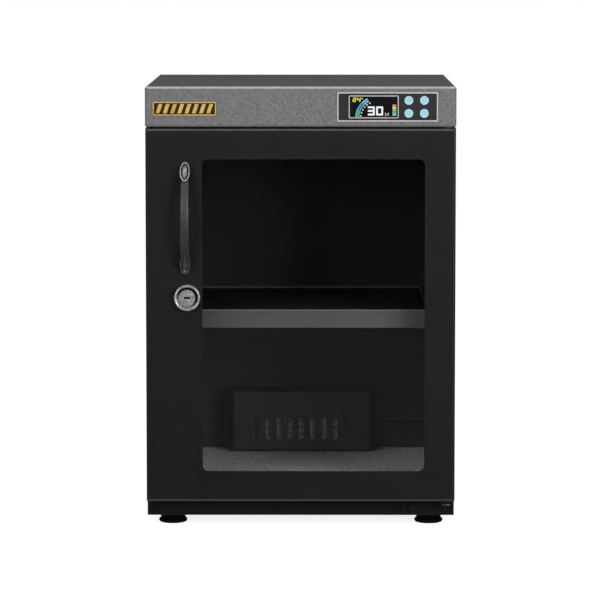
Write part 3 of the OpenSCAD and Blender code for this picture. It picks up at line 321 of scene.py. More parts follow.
class Effects:
    """Builds each shared shader group once."""

    def __init__(self) -> None:
        """Starts with no group built."""
        self.built: Dict[Effect, bpy.types.NodeTree] = {}

    def get(self, effect: Effect) -> bpy.types.NodeTree:
        """Gives the group of an effect, and builds it at its first use.

        Args:
            effect: which effect.

        Returns:
            Its node group.
        """
        if effect not in self.built:
            makers: Dict[Effect, Callable[[], bpy.types.NodeTree]] = {
                Effect.GRAIN: self._grain,
                Effect.WEAR: self._wear,
                Effect.DUST: self._dust,
                Effect.SMUDGE: self._smudge,
                Effect.BRUSH: self._brush,
                Effect.FLECK: self._fleck,
                Effect.BEND: self._bend,
            }
            self.built[effect] = makers[effect]()
        return self.built[effect]

    def use(self, links: Links, effect: Effect, **values: float) -> bpy.types.Node:
        """Places a shared group in a material.

        Args:
            links: the material's links helper.
            effect: which group.
            values: its inputs by name.

        Returns:
            The group node.
        """
        return links.fill(links.node("ShaderNodeGroup", node_tree=self.get(effect)), values)

    @staticmethod
    def _start(
        effect: Effect, outputs: Sequence[str], **inputs: float
    ) -> Tuple[Links, bpy.types.Node, bpy.types.Node]:
        """Makes an empty group.

        Args:
            effect: its name.
            outputs: each output's name.
            inputs: each input's default, by its name.

        Returns:
            The links helper, the input node and the output node.
        """
        tree = bpy.data.node_groups.new(effect.value, "ShaderNodeTree")
        for name, default in inputs.items():
            socket = tree.interface.new_socket(name=name, in_out="INPUT", socket_type="NodeSocketFloat")
            socket.default_value = default
        for name in outputs:
            tree.interface.new_socket(name=name, in_out="OUTPUT", socket_type="NodeSocketFloat")
        links = Links(tree)
        return links, links.node("NodeGroupInput"), links.node("NodeGroupOutput")

    def _grain(self) -> bpy.types.NodeTree:
        """Gives the sanded height of a powder coat or moulded skin, and a soft tone over it.

        Returns:
            The group's tree.
        """
        links, given, out = self._start(Effect.GRAIN, ("Height", "Tone"), Scale=800.0, Drift=30.0)
        fine = links.noise(Scale=given.outputs["Scale"], Detail=3.0, Roughness=0.6)
        broad = links.noise(Scale=given.outputs["Drift"], Detail=2.0)
        fine_share = 0.55
        both = links.total(links.product(fine, fine_share), links.product(broad, 1.0 - fine_share))
        links.fill(out, {"Height": fine, "Tone": links.span(both, low=0.3, high=0.7)})
        return links.tree

    def _wear(self) -> bpy.types.NodeTree:
        """Finds the convex and concave edges, broken up by noise.

        Returns:
            The group's tree.
        """
        links, given, out = self._start(Effect.WEAR, ("Edge",), Radius=0.8 * MM, Amount=0.5)
        rounded = links.fill(links.node("ShaderNodeBevel", samples=6), {"Radius": given.outputs["Radius"]})
        alike = links.node("ShaderNodeVectorMath", operation="DOT_PRODUCT")
        links.join(rounded.outputs["Normal"], alike.inputs[0])
        links.join(links.normal(), alike.inputs[1])
        sharp = links.span(alike.outputs["Value"], low=0.995, high=0.86)
        patchy = links.span(links.noise(Scale=160.0, Detail=5.0), low=0.42, high=0.6)
        links.join(links.product(sharp, patchy, given.outputs["Amount"]), out.inputs["Edge"])
        return links.tree

    def _dust(self) -> bpy.types.NodeTree:
        """Covers what faces up, in uneven patches.

        Returns:
            The group's tree.
        """
        links, given, out = self._start(Effect.DUST, ("Cover",), Scale=60.0, Amount=0.1)
        _, _, up = links.split(links.normal())
        level = links.span(up, low=0.35, high=1.0)
        noise = links.noise(Scale=given.outputs["Scale"], Detail=6.0, Roughness=0.65)
        patchy = links.span(noise, low=0.35, high=0.7)
        links.join(links.product(level, patchy, given.outputs["Amount"]), out.inputs["Cover"])
        return links.tree

    def _smudge(self) -> bpy.types.NodeTree:
        """Gives a roughness that wanders between two values.

        Returns:
            The group's tree.
        """
        links, given, out = self._start(Effect.SMUDGE, ("Roughness",), Scale=25.0, Low=0.3, High=0.4)
        noise = links.noise(Scale=given.outputs["Scale"], Detail=4.0, Distortion=0.6)
        found = links.span(noise, 0.3, 0.7, to_low=given.outputs["Low"], to_high=given.outputs["High"])
        links.join(found, out.inputs["Roughness"])
        return links.tree

    def _brush(self) -> bpy.types.NodeTree:
        """Draws fine lines along X, as a belt leaves them.

        Returns:
            The group's tree.
        """
        links, given, out = self._start(Effect.BRUSH, ("Height",), Scale=2500.0)
        drawn = links.fill(
            links.node("ShaderNodeMapping"), {"Vector": links.place(), "Scale": (0.02, 1.0, 1.0)}
        )
        noise = links.noise(Vector=drawn.outputs["Vector"], Scale=given.outputs["Scale"])
        links.join(noise, out.inputs["Height"])
        return links.tree

    def _fleck(self) -> bpy.types.NodeTree:
        """Scatters light and dark flecks and small pits, as bonded foam has.

        Returns:
            The group's tree.
        """
        links, given, out = self._start(Effect.FLECK, ("Fleck", "Height"), Scale=500.0)
        scale = given.outputs["Scale"]
        clump_share, crumb_weight, pit_weight = 0.35, 0.6, 0.5
        cells = links.fill(
            links.node("ShaderNodeTexVoronoi", feature="F1"), {"Vector": links.place(), "Scale": scale}
        )
        drawn = links.node("ShaderNodeSeparateColor")
        links.join(cells.outputs["Color"], drawn.inputs[0])
        clumps = links.noise(Scale=links.product(scale, clump_share), Detail=4.0)
        crumbs = links.product(links.total(drawn.outputs["Red"], clumps), crumb_weight)
        pits = links.product(links.total(cells.outputs["Distance"], clumps), pit_weight)
        links.fill(out, {"Fleck": links.span(crumbs, low=0.42, high=0.82), "Height": pits})
        return links.tree

    def _bend(self) -> bpy.types.NodeTree:
        """Finds the bends that run level, where a lighter colour is painted on as a highlight.

        Returns:
            The group's tree.
        """
        links, given, out = self._start(Effect.BEND, ("Bend",), Up=1.0, Down=0.5)
        _, _, up = links.split(links.normal())
        found = []
        for way, name in ((1.0, "Up"), (-1.0, "Down")):
            lean = links.product(up, way)
            bent = links.product(links.span(lean, low=0.08, high=0.4), links.span(lean, low=0.99, high=0.9))
            found.append(links.product(bent, given.outputs[name]))
        uneven = links.span(links.noise(Scale=90.0, Detail=3.0), 0.25, 0.6, to_low=0.75, to_high=1.0)
        links.join(links.product(links.total(*found), uneven), out.inputs["Bend"])
        return links.tree


EFFECTS = Effects()


# Finishes


def shade(color: Rgb, share: float) -> Rgb:
    """Gives a share of a colour, up to white."""
    return tuple(min(1.0, part * share) for part in color)


@dataclass(frozen=True)
class Finish:
    """One opaque finish: its colour, gloss, grain, wear and dust, and a painted highlight on level bends."""

    name: str
    color: Rgb
    roughness: float
    spread: float = 0.08
    metallic: float = 0.0
    specular: float = 0.5
    grain_scale: float = 800.0
    grain_depth: float = 0.04 * MM
    tone: float = 0.12
    drift: float = 30.0
    wear: float = 0.0
    wear_color: Rgb = (0.2, 0.2, 0.2)
    wear_radius: float = 0.8 * MM
    wear_metallic: float = 0.6
    # The painted highlight on level bends: its amount on bends facing up and down, and its colour
    bend: Flat = (0.0, 0.0)
    bend_highlight_color: Rgb = (0.2, 0.2, 0.2)
    dust: float = 0.04
    dust_color: Rgb = (0.35, 0.34, 0.32)
    smudge_scale: float = 25.0
    smoothest: float = 0.02
    coat: float = 0.0
    coat_roughness: float = 0.1

    def base(self, links: Links) -> Tuple[Socket, Socket]:
        """Makes the colour and height before wear and dust.

        Args:
            links: the material's links helper.

        Returns:
            The colour and the height between 0 and 1.
        """
        grain = EFFECTS.use(links, Effect.GRAIN, Scale=self.grain_scale, Drift=self.drift).outputs
        dark, light = shade(self.color, 1 - self.tone), shade(self.color, 1 + self.tone)
        color = links.blend(grain["Tone"], dark, light)
        return color, grain["Height"]

    def build(self) -> bpy.types.Material:
        """Builds the material.

        Returns:
            The material, with its shader and its groups.
        """
        made, links = blank_material(self.name)
        color, height = self.base(links)
        metal: Value = self.metallic
        if self.wear:
            worn = EFFECTS.use(links, Effect.WEAR, Radius=self.wear_radius, Amount=self.wear).outputs["Edge"]
            color = links.blend(worn, color, self.wear_color)
            metal = links.span(worn, 0.0, 1.0, self.metallic, max(self.metallic, self.wear_metallic))
        # Painted highlight: the level bends take a lighter colour
        if any(self.bend):
            highlight = EFFECTS.use(links, Effect.BEND, Up=self.bend[0], Down=self.bend[1]).outputs["Bend"]
            color = links.blend(highlight, color, self.bend_highlight_color)
        if self.dust:
            cover = EFFECTS.use(links, Effect.DUST, Amount=self.dust).outputs["Cover"]
            color = links.blend(cover, color, self.dust_color)
        smudge = EFFECTS.use(
            links, Effect.SMUDGE, Scale=self.smudge_scale, High=min(1.0, self.roughness + self.spread),
            Low=max(self.smoothest, self.roughness - self.spread),
        )
        bump = links.fill(
            links.node("ShaderNodeBump"), {"Strength": 1.0, "Distance": self.grain_depth, "Height": height}
        )
        shader = links.fill(links.node("ShaderNodeBsdfPrincipled"), {
            "Base Color": color, "Roughness": smudge.outputs["Roughness"], "Normal": bump.outputs["Normal"],
            "Metallic": metal, "Specular IOR Level": self.specular, "Coat Weight": self.coat,
            "Coat Roughness": self.coat_roughness,
        })
        links.show(shader.outputs[0])
        return made


@dataclass(frozen=True)
class Brushed(Finish):
    """A metal with fine lines from its finishing belt."""

    def base(self, links: Links) -> Tuple[Socket, Socket]:
        """Makes the colour and height from the lines.

        Args:
            links: the material's links helper.

        Returns:
            The colour and the height.
        """
        lines = EFFECTS.use(links, Effect.BRUSH, Scale=self.grain_scale).outputs["Height"]
        bright = links.span(lines, low=0.35, high=0.65)
        return links.blend(bright, shade(self.color, 1 - self.tone), self.color), lines


@dataclass(frozen=True)
class Enamelled(Finish):
    """A metal whose sunk field, behind a level, is filled with dark enamel."""

    field_y: float = 0.0
    enamel: Rgb = (0.03, 0.015, 0.01)
    soft: float = 0.05 * MM

    def base(self, links: Links) -> Tuple[Socket, Socket]:
        """Makes the colour and height, dark behind the level.

        Args:
            links: the material's links helper.

        Returns:
            The colour and the height.
        """
        color, height = super().base(links)
        _, y, _ = links.split(links.place())
        sunk = links.span(y, self.field_y - self.soft, self.field_y + self.soft)
        return links.blend(sunk, color, self.enamel), height


@dataclass(frozen=True)
class Grooved(Finish):
    """A turned metal with painted shade in the groove about its axis, most of all on one side, and in its key
    slot.
    """

    axis: Flat = (0.0, 0.0)
    inner: float = 8.1 * MM
    outer: float = 10.6 * MM
    # The colour of the painted shade in the groove and the key slot
    dark: Rgb = (0.008, 0.008, 0.009)
    lean: Flat = (0.45, 0.89)
    slot_y: float = 0.0
    slot_r: float = 3.0 * MM
    soft: float = 0.2 * MM

    def base(self, links: Links) -> Tuple[Socket, Socket]:
        """Makes the colour and height, with painted shade in the groove and the key slot.

        Args:
            links: the material's links helper.

        Returns:
            The colour and the height.
        """
        color, height = super().base(links)
        across, up = links.from_axis(self.axis)
        radius = links.length(across, up)
        # Painted shade: the groove, darkest on one side, and the key slot behind its lip
        groove = links.band(radius, self.inner, self.outer, self.soft)
        side = links.total(links.product(across, self.lean[0]), links.product(up, self.lean[1]))
        shaded_side = links.span(links.math("DIVIDE", side, radius), -0.75, 0.1, to_low=0.3, to_high=1.0)
        _, y, _ = links.split(links.place())
        behind = links.span(y, self.slot_y, self.slot_y + self.soft)
        slot = links.product(behind, links.span(radius, self.slot_r + self.soft, self.slot_r))
        dark = links.math("MAXIMUM", links.product(groove, shaded_side), slot)
        return links.blend(dark, color, self.dark), height


@dataclass(frozen=True)
class ShadedEnds(Finish):
    """A metal painted darker beyond a reach below, and above, a level: painted shade on its lower end."""

    level: float = 0.0
    reach: float = 0.0
    below: Rgb = (0.22, 0.245, 0.24)
    above: Optional[Rgb] = None
    soft: float = 2.0 * MM

    def base(self, links: Links) -> Tuple[Socket, Socket]:
        """Makes the colour and height, with the ends painted darker.

        Args:
            links: the material's links helper.

        Returns:
            The colour and the height.
        """
        color, height = super().base(links)
        _, _, z = links.split(links.place())
        low, high = self.level - self.reach, self.level + self.reach
        # Painted darker ends: painted shade below, and darker still above where a colour is given
        color = links.blend(links.span(z, low + self.soft, low - self.soft), color, self.below)
        if self.above is not None:
            color = links.blend(links.span(z, high - self.soft, high + self.soft), color, self.above)
        return color, height


@dataclass(frozen=True)
class Inlaid(ShadedEnds):
    """A plating with painted shade in the oval groove between its rim and its core, and on the core away from
    its middle, which is left to shine.

    The ovals are half widths and half heights, and each fade is in shares of its oval.
    """

    centre: Flat = (0.0, 0.0)
    core: Flat = (2.7 * MM, 6.6 * MM)
    core_shade: Rgb = (0.17, 0.17, 0.165)
    core_fade: Flat = (0.35, 0.9)
    groove_shade: Rgb = (0.04, 0.04, 0.04)
    groove_fade: Flat = (0.98, 1.08)
    rim: Flat = (4.1 * MM, 8.0 * MM)
    rim_fade: Flat = (1.0, 0.94)

    def base(self, links: Links) -> Tuple[Socket, Socket]:
        """Makes the colour and height, with the painted shade in the groove and on the core.

        Args:
            links: the material's links helper.

        Returns:
            The colour and the height.
        """
        color, height = super().base(links)
        across, along = links.from_axis(self.centre)
        core, rim = (
            links.length(links.math("DIVIDE", across, oval[0]), links.math("DIVIDE", along, oval[1]))
            for oval in (self.core, self.rim)
        )
        within = links.span(rim, *self.rim_fade)
        # Painted shade on the core away from its middle, and in the groove
        for fade, painted_shade in ((self.core_fade, self.core_shade), (self.groove_fade, self.groove_shade)):
            color = links.blend(links.product(within, links.span(core, *fade)), color, painted_shade)
        return color, height


@dataclass(frozen=True)
class Lined(Finish):
    """A satin coat, painted lighter on the faces inside a box: painted light inside the cabinet."""

    low: Point = (0.0, 0.0, 0.0)
    high: Point = (0.0, 0.0, 0.0)
    # The lighter colour inside, which is painted light
    inside: Rgb = (0.012, 0.012, 0.012)
    soft: float = 0.2 * MM

    def base(self, links: Links) -> Tuple[Socket, Socket]:
        """Makes the colour and height, with painted light in the box.

        Args:
            links: the material's links helper.

        Returns:
            The colour and the height.
        """
        color, height = super().base(links)
        sides = zip(links.split(links.place()), self.low, self.high)
        held = links.product(*(links.band(where, low, high, self.soft) for where, low, high in sides))
        # Painted light: the faces inside the box take the lighter colour
        return links.blend(held, color, self.inside), height


@dataclass(frozen=True)
class Speckled(Finish):
    """A bonded foam of light and dark crumbs."""

    fleck: Rgb = (0.3, 0.3, 0.3)

    def base(self, links: Links) -> Tuple[Socket, Socket]:
        """Makes the colour and height from the flecks."""
        crumbs = EFFECTS.use(links, Effect.FLECK, Scale=self.grain_scale).outputs
        return links.blend(crumbs["Fleck"], self.color, self.fleck), crumbs["Height"]


@dataclass(frozen=True)
class Clear:
    """Clear float glass that lets the lamps through to what is behind it."""

    name: str
    tint: Rgb = (0.95, 0.96, 0.957)
    index: float = 1.5
    specular: float = 0.22
    haze: float = 0.006
    haze_scale: float = 9.0

    def build(self) -> bpy.types.Material:
        """Builds the material: glass to the eye, and no shadow from it.

        Returns:
            The material.
        """
        made, links = blank_material(self.name)
        tint = (*self.tint, 1.0)
        haze = EFFECTS.use(links, Effect.SMUDGE, Scale=self.haze_scale, Low=0.0, High=self.haze)
        glass = links.fill(links.node("ShaderNodeBsdfPrincipled"), {
            "Base Color": tint, "Transmission Weight": 1.0, "IOR": self.index,
            "Specular IOR Level": self.specular, "Roughness": haze.outputs["Roughness"],
        })
        clear = links.fill(links.node("ShaderNodeBsdfTransparent"), {"Color": tint})
        ray = links.node("ShaderNodeLightPath").outputs
        passes = links.math("MAXIMUM", ray["Is Shadow Ray"], ray["Is Diffuse Ray"])
        links.show(links.mix(passes, glass.outputs[0], clear.outputs[0]))
        return made


@dataclass(frozen=True)
class Glow:
    """A lit segment of the display, a little uneven as its light box is."""

    name: str
    color: Rgb
    strength: float = 1.0
    unlit_share: float = 0.12
    dim_share: float = 0.82
    roughness: float = 0.35

    def build(self) -> bpy.types.Material:
        """Builds the material.

        Returns:
            The material, with the light falling off in soft patches.
        """
        made, links = blank_material(self.name)
        tone = EFFECTS.use(links, Effect.GRAIN, Scale=900.0, Drift=120.0).outputs["Tone"]
        shader = links.fill(links.node("ShaderNodeBsdfPrincipled"), {
            "Base Color": (*shade(self.color, self.unlit_share), 1.0), "Roughness": self.roughness,
            "Emission Color": links.blend(tone, shade(self.color, self.dim_share), self.color),
            "Emission Strength": self.strength,
        })
        links.show(shader.outputs[0])
        return made


def middle(node: str) -> Vector:
    """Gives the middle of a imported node's box."""
    low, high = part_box(node)
    return (low + high) / 2


def inner_box() -> Tuple[Point, Point]:
    """Gives the box that runs through the middle of the shell's sheets.

    Returns:
        Its lowest and highest corner.
    """
    half_sheet = 0.6 * MM
    sides = (
        ("side_panel_left", "side_panel_right"), ("front_frame", "rear_panel"), ("floor_panel", "head_deck"),
    )
    low = tuple(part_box(first)[0][axis] + half_sheet for axis, (first, _) in enumerate(sides))
    high = tuple(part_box(second)[1][axis] - half_sheet for axis, (_, second) in enumerate(sides))
    return low, high


# Where a finish changes on its piece
# The box inside the shell, where the body paint is painted lighter as painted light
INNER_BOX = inner_box()
LOCK_AXIS: Flat = (middle("lock_barrel").x, middle("lock_barrel").z)
# Where the painted shade in the lock's key slot begins
SLOT_LIP = 0.1 * MM
SLOT_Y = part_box("lock_plug")[0].y + SLOT_LIP
# The handle's middle: the lower trim and the handle's lower end take painted shade below it
HANDLE_LEVEL = middle("handle").z
# The middle of the upper trim's oval, about which its core and groove take painted shade
TRIM_DROP = 9.3 * MM
TRIM_CENTRE: Flat = (middle("handle_trims").x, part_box("handle_trims")[1].z - TRIM_DROP)
BADGE_RELIEF = 0.4 * MM
BADGE_FIELD_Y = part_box("badge_plate")[0].y + BADGE_RELIEF
# The nodes whose finish differs from their slot's: the front frame and the lower hinge bracket take a darker
# copy of the body paint, as painted shade under the door
OWN_FINISHES: Dict[str, str] = {"front_frame": "frame_paint", "lower_hinge_bracket": "frame_paint"}
# What the powder coats share
POWDER: Dict[str, float] = dict(
    grain_scale=900.0, grain_depth=0.05 * MM, wear_radius=0.7 * MM, spread=0.03,
)
FINISHES: Dict[str, Union[Finish, Clear]] = {finish.name: finish for finish in (
    # Its bend colour is a painted highlight along the top front edge
    Finish(
        "head_paint", (0.150, 0.151, 0.152), 0.55, spread=0.02, metallic=0.2, specular=0.25,
        grain_scale=520.0, grain_depth=0.18 * MM, tone=0.36, drift=420.0, wear=0.2,
        wear_color=(0.3, 0.3, 0.31), dust=0.0, bend=(1.0, 0.0), bend_highlight_color=(0.46, 0.46, 0.47),
    ),
    # Painted lighter inside the shell, as painted light
    Lined(
        "body_paint", (0.0068, 0.0068, 0.0069), 0.46, specular=0.18, tone=0.12, wear=0.22,
        wear_color=(0.06, 0.06, 0.06), dust=0.004, low=INNER_BOX[0], high=INNER_BOX[1],
        inside=(0.018, 0.018, 0.0182), **POWDER,
    ),
    # A darker copy of the body paint, as painted shade under the door's overhang
    Finish(
        "frame_paint", (0.0036, 0.0036, 0.0037), 0.5, specular=0.1, tone=0.2, wear=0.18,
        wear_color=(0.05, 0.05, 0.05), dust=0.01, **POWDER,
    ),
    # Its bend colour is a painted highlight along the door's top and bottom bends
    Finish(
        "door_paint", (0.0066, 0.0067, 0.0067), 0.4, spread=0.02, specular=0.22, grain_scale=700.0,
        grain_depth=0.02 * MM, tone=0.12, wear=0.0, dust=0.01, bend=(1.0, 0.6),
        bend_highlight_color=(0.075, 0.075, 0.076),
    ),
    # Its bend colour is a painted highlight along the top bend of the shelf's lip
    Finish(
        "shelf_paint", (0.048, 0.048, 0.05), 0.45, spread=0.03, tone=0.12, wear=0.25,
        wear_color=(0.2, 0.2, 0.2), dust=0.02, grain_scale=900.0, grain_depth=0.03 * MM, bend=(1.0, 0.0),
        bend_highlight_color=(0.16, 0.16, 0.16),
    ),
    Finish(
        "rail_paint", (0.012, 0.012, 0.013), 0.48, specular=0.3, wear=0.25, wear_color=(0.12, 0.12, 0.12),
        **POWDER,
    ),
    Brushed(
        "zinc_steel", (0.56, 0.56, 0.58), 0.34, metallic=0.8, grain_scale=1800.0, grain_depth=0.008 * MM,
        tone=0.2, dust=0.05,
    ),
    Finish(
        "black_steel", (0.005, 0.005, 0.0052), 0.5, metallic=0.1, specular=0.15, grain_scale=1500.0,
        grain_depth=0.01 * MM, wear=0.12, wear_color=(0.06, 0.06, 0.062), wear_radius=0.3 * MM, dust=0.01,
    ),
    # Painted shade in the lock's groove and key slot
    Grooved(
        "lock_chrome", (0.58, 0.58, 0.59), 0.22, spread=0.08, metallic=0.7, grain_scale=700.0,
        grain_depth=0.1 * MM, tone=0.62, drift=330.0, smudge_scale=300.0, dust=0.0, axis=LOCK_AXIS,
        slot_y=SLOT_Y,
    ),
    # The lower trim is painted as in shade; the upper one has painted shade in its groove and on its core
    Inlaid(
        "trim_chrome", (0.62, 0.62, 0.62), 0.16, spread=0.05, metallic=0.8, grain_scale=900.0,
        grain_depth=0.004 * MM, tone=0.1, smudge_scale=200.0, dust=0.0, level=HANDLE_LEVEL,
        centre=TRIM_CENTRE,
    ),
    # The handle's lower end is painted darker as painted shade, and its upper end darker still
    ShadedEnds(
        "handle_metal", (0.068, 0.062, 0.067), 0.38, spread=0.04, metallic=0.55, grain_scale=1800.0,
        grain_depth=0.015 * MM, tone=0.15, wear=0.15, wear_color=(0.2, 0.19, 0.2), wear_radius=0.5 * MM,
        level=HANDLE_LEVEL, reach=37 * MM, below=(0.045, 0.05, 0.048), above=(0.01, 0.01, 0.01),
        dust=0.02,
    ),
    Enamelled(
        "badge_gold", (0.80, 0.52, 0.12), 0.32, spread=0.1, metallic=0.5, grain_scale=700.0,
        grain_depth=0.03 * MM, tone=0.3, drift=260.0, wear=0.4, wear_color=(0.9, 0.72, 0.3),
        wear_radius=0.4 * MM, dust=0.0, field_y=BADGE_FIELD_Y,
    ),
    Finish(
        "rim_silver", (0.45, 0.45, 0.455), 0.36, specular=0.5, grain_scale=1500.0, grain_depth=0.01 * MM,
        tone=0.06, dust=0.05,
    ),
    Finish(
        "panel_black", (0.022, 0.021, 0.025), 0.3, specular=0.3, grain_scale=400.0,
        grain_depth=0.004 * MM, tone=0.08, dust=0.04,
    ),
    Finish(
        "screen_frame", (0.38, 0.365, 0.375), 0.35, grain_scale=1500.0, grain_depth=0.008 * MM, tone=0.06,
        dust=0.03,
    ),
    Finish(
        "screen", (0.004, 0.004, 0.007), 0.22, specular=0.3, grain_scale=300.0, grain_depth=0.002 * MM,
        tone=0.3, dust=0.02,
    ),
    Finish("light_box", (0.7, 0.7, 0.68), 0.5, grain_scale=900.0, grain_depth=0.02 * MM, tone=0.05),
    Finish(
        "key_blue", (0.38, 0.60, 0.69), 0.34, grain_scale=1200.0, grain_depth=0.01 * MM, tone=0.06,
        drift=300.0, dust=0.03, coat=0.3,
    ),
    Finish(
        "board_green", (0.012, 0.1, 0.032), 0.35, grain_scale=2500.0, grain_depth=0.01 * MM, tone=0.3,
        drift=200.0,
    ),
    Finish(
        "black_plastic", (0.010, 0.010, 0.011), 0.55, specular=0.3, tone=0.15, dust=0.03, wear=0.1,
        wear_color=(0.04, 0.04, 0.04), **{**POWDER, "grain_scale": 1300.0},
    ),
    Finish(
        "foot_rubber", (0.0016, 0.0014, 0.0016), 0.8, specular=0.08, grain_scale=900.0,
        grain_depth=0.06 * MM, tone=0.25, dust=0.0,
    ),
    Finish(
        "seal_rubber", (0.008, 0.008, 0.009), 0.62, specular=0.3, grain_scale=700.0,
        grain_depth=0.03 * MM, tone=0.2, dust=0.04,
    ),
    Clear("clear_glass"),
    Finish("nylon", (0.012, 0.012, 0.012), 0.5, specular=0.3, grain_scale=900.0, grain_depth=0.02 * MM),
    Speckled(
        "shelf_foam", (0.004, 0.004, 0.005), 0.92, specular=0.12, grain_scale=900.0, grain_depth=0.4 * MM,
        dust=0.03, fleck=(0.016, 0.016, 0.018),
    ),
    Speckled(
        "floor_foam", (0.50, 0.50, 0.502), 0.93, specular=0.15, grain_scale=620.0, grain_depth=0.5 * MM,
        dust=0.02, fleck=(0.95, 0.95, 0.95),
    ),
    Finish(
        "desiccant", (0.6, 0.56, 0.47), 0.7, grain_scale=700.0, grain_depth=0.1 * MM, tone=0.15,
        drift=100.0,
    ),
    Brushed(
        "heater_metal", (0.6, 0.6, 0.62), 0.36, metallic=1.0, grain_scale=1500.0, grain_depth=0.01 * MM,
        tone=0.15,
    ),
    Brushed(
        "actuator_brass", (0.6, 0.42, 0.16), 0.32, metallic=1.0, grain_scale=1500.0,
        grain_depth=0.01 * MM, tone=0.15,
    ),
    Finish(
        "wire_sleeve", (0.012, 0.012, 0.013), 0.5, grain_scale=600.0, grain_depth=0.05 * MM, tone=0.2,
    ),
)}


class Stock:
    """Keeps each finish's material, built at its first use."""

    def __init__(self) -> None:
        """Starts with nothing built."""
        self.made: Dict[str, bpy.types.Material] = {}

    def get(self, slot: str) -> bpy.types.Material:
        """Gives the material of a finish, such as a record slot's.

        Args:
            slot: the slot's name.

        Returns:
            Its material.
        """
        if slot not in self.made:
            old = bpy.data.materials.get(slot)
            if old is not None:
                old.name = slot + "_packed"
            self.made[slot] = FINISHES[slot].build()
        return self.made[slot]

    def dress_nodes(self) -> None:
        """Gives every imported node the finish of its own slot."""
        for name, node in sorted(frame["nodes"].items()):
            for place in node.material_slots:
                slot = place.material.name.replace("_packed", "")
                place.material = self.get(OWN_FINISHES.get(name, slot))
            LOG.info("%s takes its finish", name)


STOCK = Stock()


# Meshes


def finish_piece(
    name: str, mesh: bmesh.types.BMesh, material: bpy.types.Material, smooth_below: Optional[float] = 35.0
) -> bpy.types.Object:
    """Turns a bmesh into an object at the origin.

    Args:
        name: the piece's name.
        mesh: its shape, which is freed.
        material: its only material.
        smooth_below: the angle in degrees up to which edges are smooth, or None for flat faces.

    Returns:
        The new object, in the scene.
    """
    data = bpy.data.meshes.new(name)
    mesh.to_mesh(data)
    mesh.free()
    data.materials.append(material)
    piece = bpy.data.objects.new(name, data)
    bpy.context.scene.collection.objects.link(piece)
    if smooth_below is not None:
        data.shade_smooth()
        data.set_sharp_from_angle(angle=math.radians(smooth_below))
    return piece


def settle(piece: bpy.types.Object, body: str, replaced: Sequence[str] = ()) -> None:
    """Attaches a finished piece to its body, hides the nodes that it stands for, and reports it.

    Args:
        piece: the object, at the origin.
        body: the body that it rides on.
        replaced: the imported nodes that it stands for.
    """
    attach(piece, body)
    if replaced:
        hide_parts(*replaced)
    LOG.info("%s: %d faces on %s", piece.name, len(piece.data.polygons), body)


def baked(piece: bpy.types.Object) -> bpy.types.Object:
    """Applies a piece's modifiers by taking its evaluated mesh.

    Args:
        piece: an object with modifiers.

    Returns:
        The same object, with a plain mesh and no modifier.
    """
    seen = piece.evaluated_get(bpy.context.evaluated_depsgraph_get())
    plain = bpy.data.meshes.new_from_object(seen)
    piece.modifiers.clear()
    piece.data = plain
    plain.name = piece.name
    return piece


def circle(radius: float, sides: int, centre: Flat = (0.0, 0.0)) -> List[Flat]:
    """Gives the corners of a round outline, anticlockwise from its right.

    Args:
        radius: its radius.
        sides: how many corners it has.
        centre: its middle.

    Returns:
        The corners.
    """
    turns = [2 * math.pi * i / sides for i in range(sides)]
    return [(centre[0] + radius * math.cos(turn), centre[1] + radius * math.sin(turn)) for turn in turns]


def prism(mesh: bmesh.types.BMesh, outline: Sequence[Flat], back: float, front: float) -> None:
    """Adds a flat plate that faces the front.

    Args:
        mesh: the bmesh that it goes into.
        outline: its corners as x and z, anticlockwise as seen from the front.
        back: the y of its back.
        front: the y of its front, less than back.
    """
    near = [mesh.verts.new((x, front, z)) for x, z in outline]
    far = [mesh.verts.new((x, back, z)) for x, z in outline]
    mesh.faces.new(near)
    mesh.faces.new(far[::-1])
    for i in range(len(outline)):
        k = (i + 1) % len(outline)
        mesh.faces.new((near[k], near[i], far[i], far[k]))


def islands(node: str) -> List[Tuple[Vector, Vector]]:
    """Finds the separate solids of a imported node.

    Args:
        node: the node's name.

    Returns:
        Each solid's lowest and highest corner, from left to right and from the bottom up.
    """
    copy = bmesh.new()
    copy.from_mesh(frame["nodes"][node].data)
    bmesh.ops.remove_doubles(copy, verts=copy.verts, dist=WELD)
    seen, found = set(), []
    for start in copy.verts:
        if start in seen:
            continue
        seen.add(start)
        wave, spots = [start], []
        while wave:
            spot = wave.pop()
            spots.append(tuple(spot.co))
            for edge in spot.link_edges:
                other = edge.other_vert(spot)
                if other not in seen:
                    seen.add(other)
                    wave.append(other)
        table = np.array(spots)
        found.append((Vector(table.min(0)), Vector(table.max(0))))
    copy.free()
    return sorted(found, key=lambda pair: tuple(round(c, 4) for c in pair[0]))


# Fasteners


class Facing(Enum):
    """Where a screw's head looks."""

    FRONT = (0.0, -1.0, 0.0)
    BACK = (0.0, 1.0, 0.0)
    DOWN = (0.0, 0.0, -1.0)
    UP = (0.0, 0.0, 1.0)


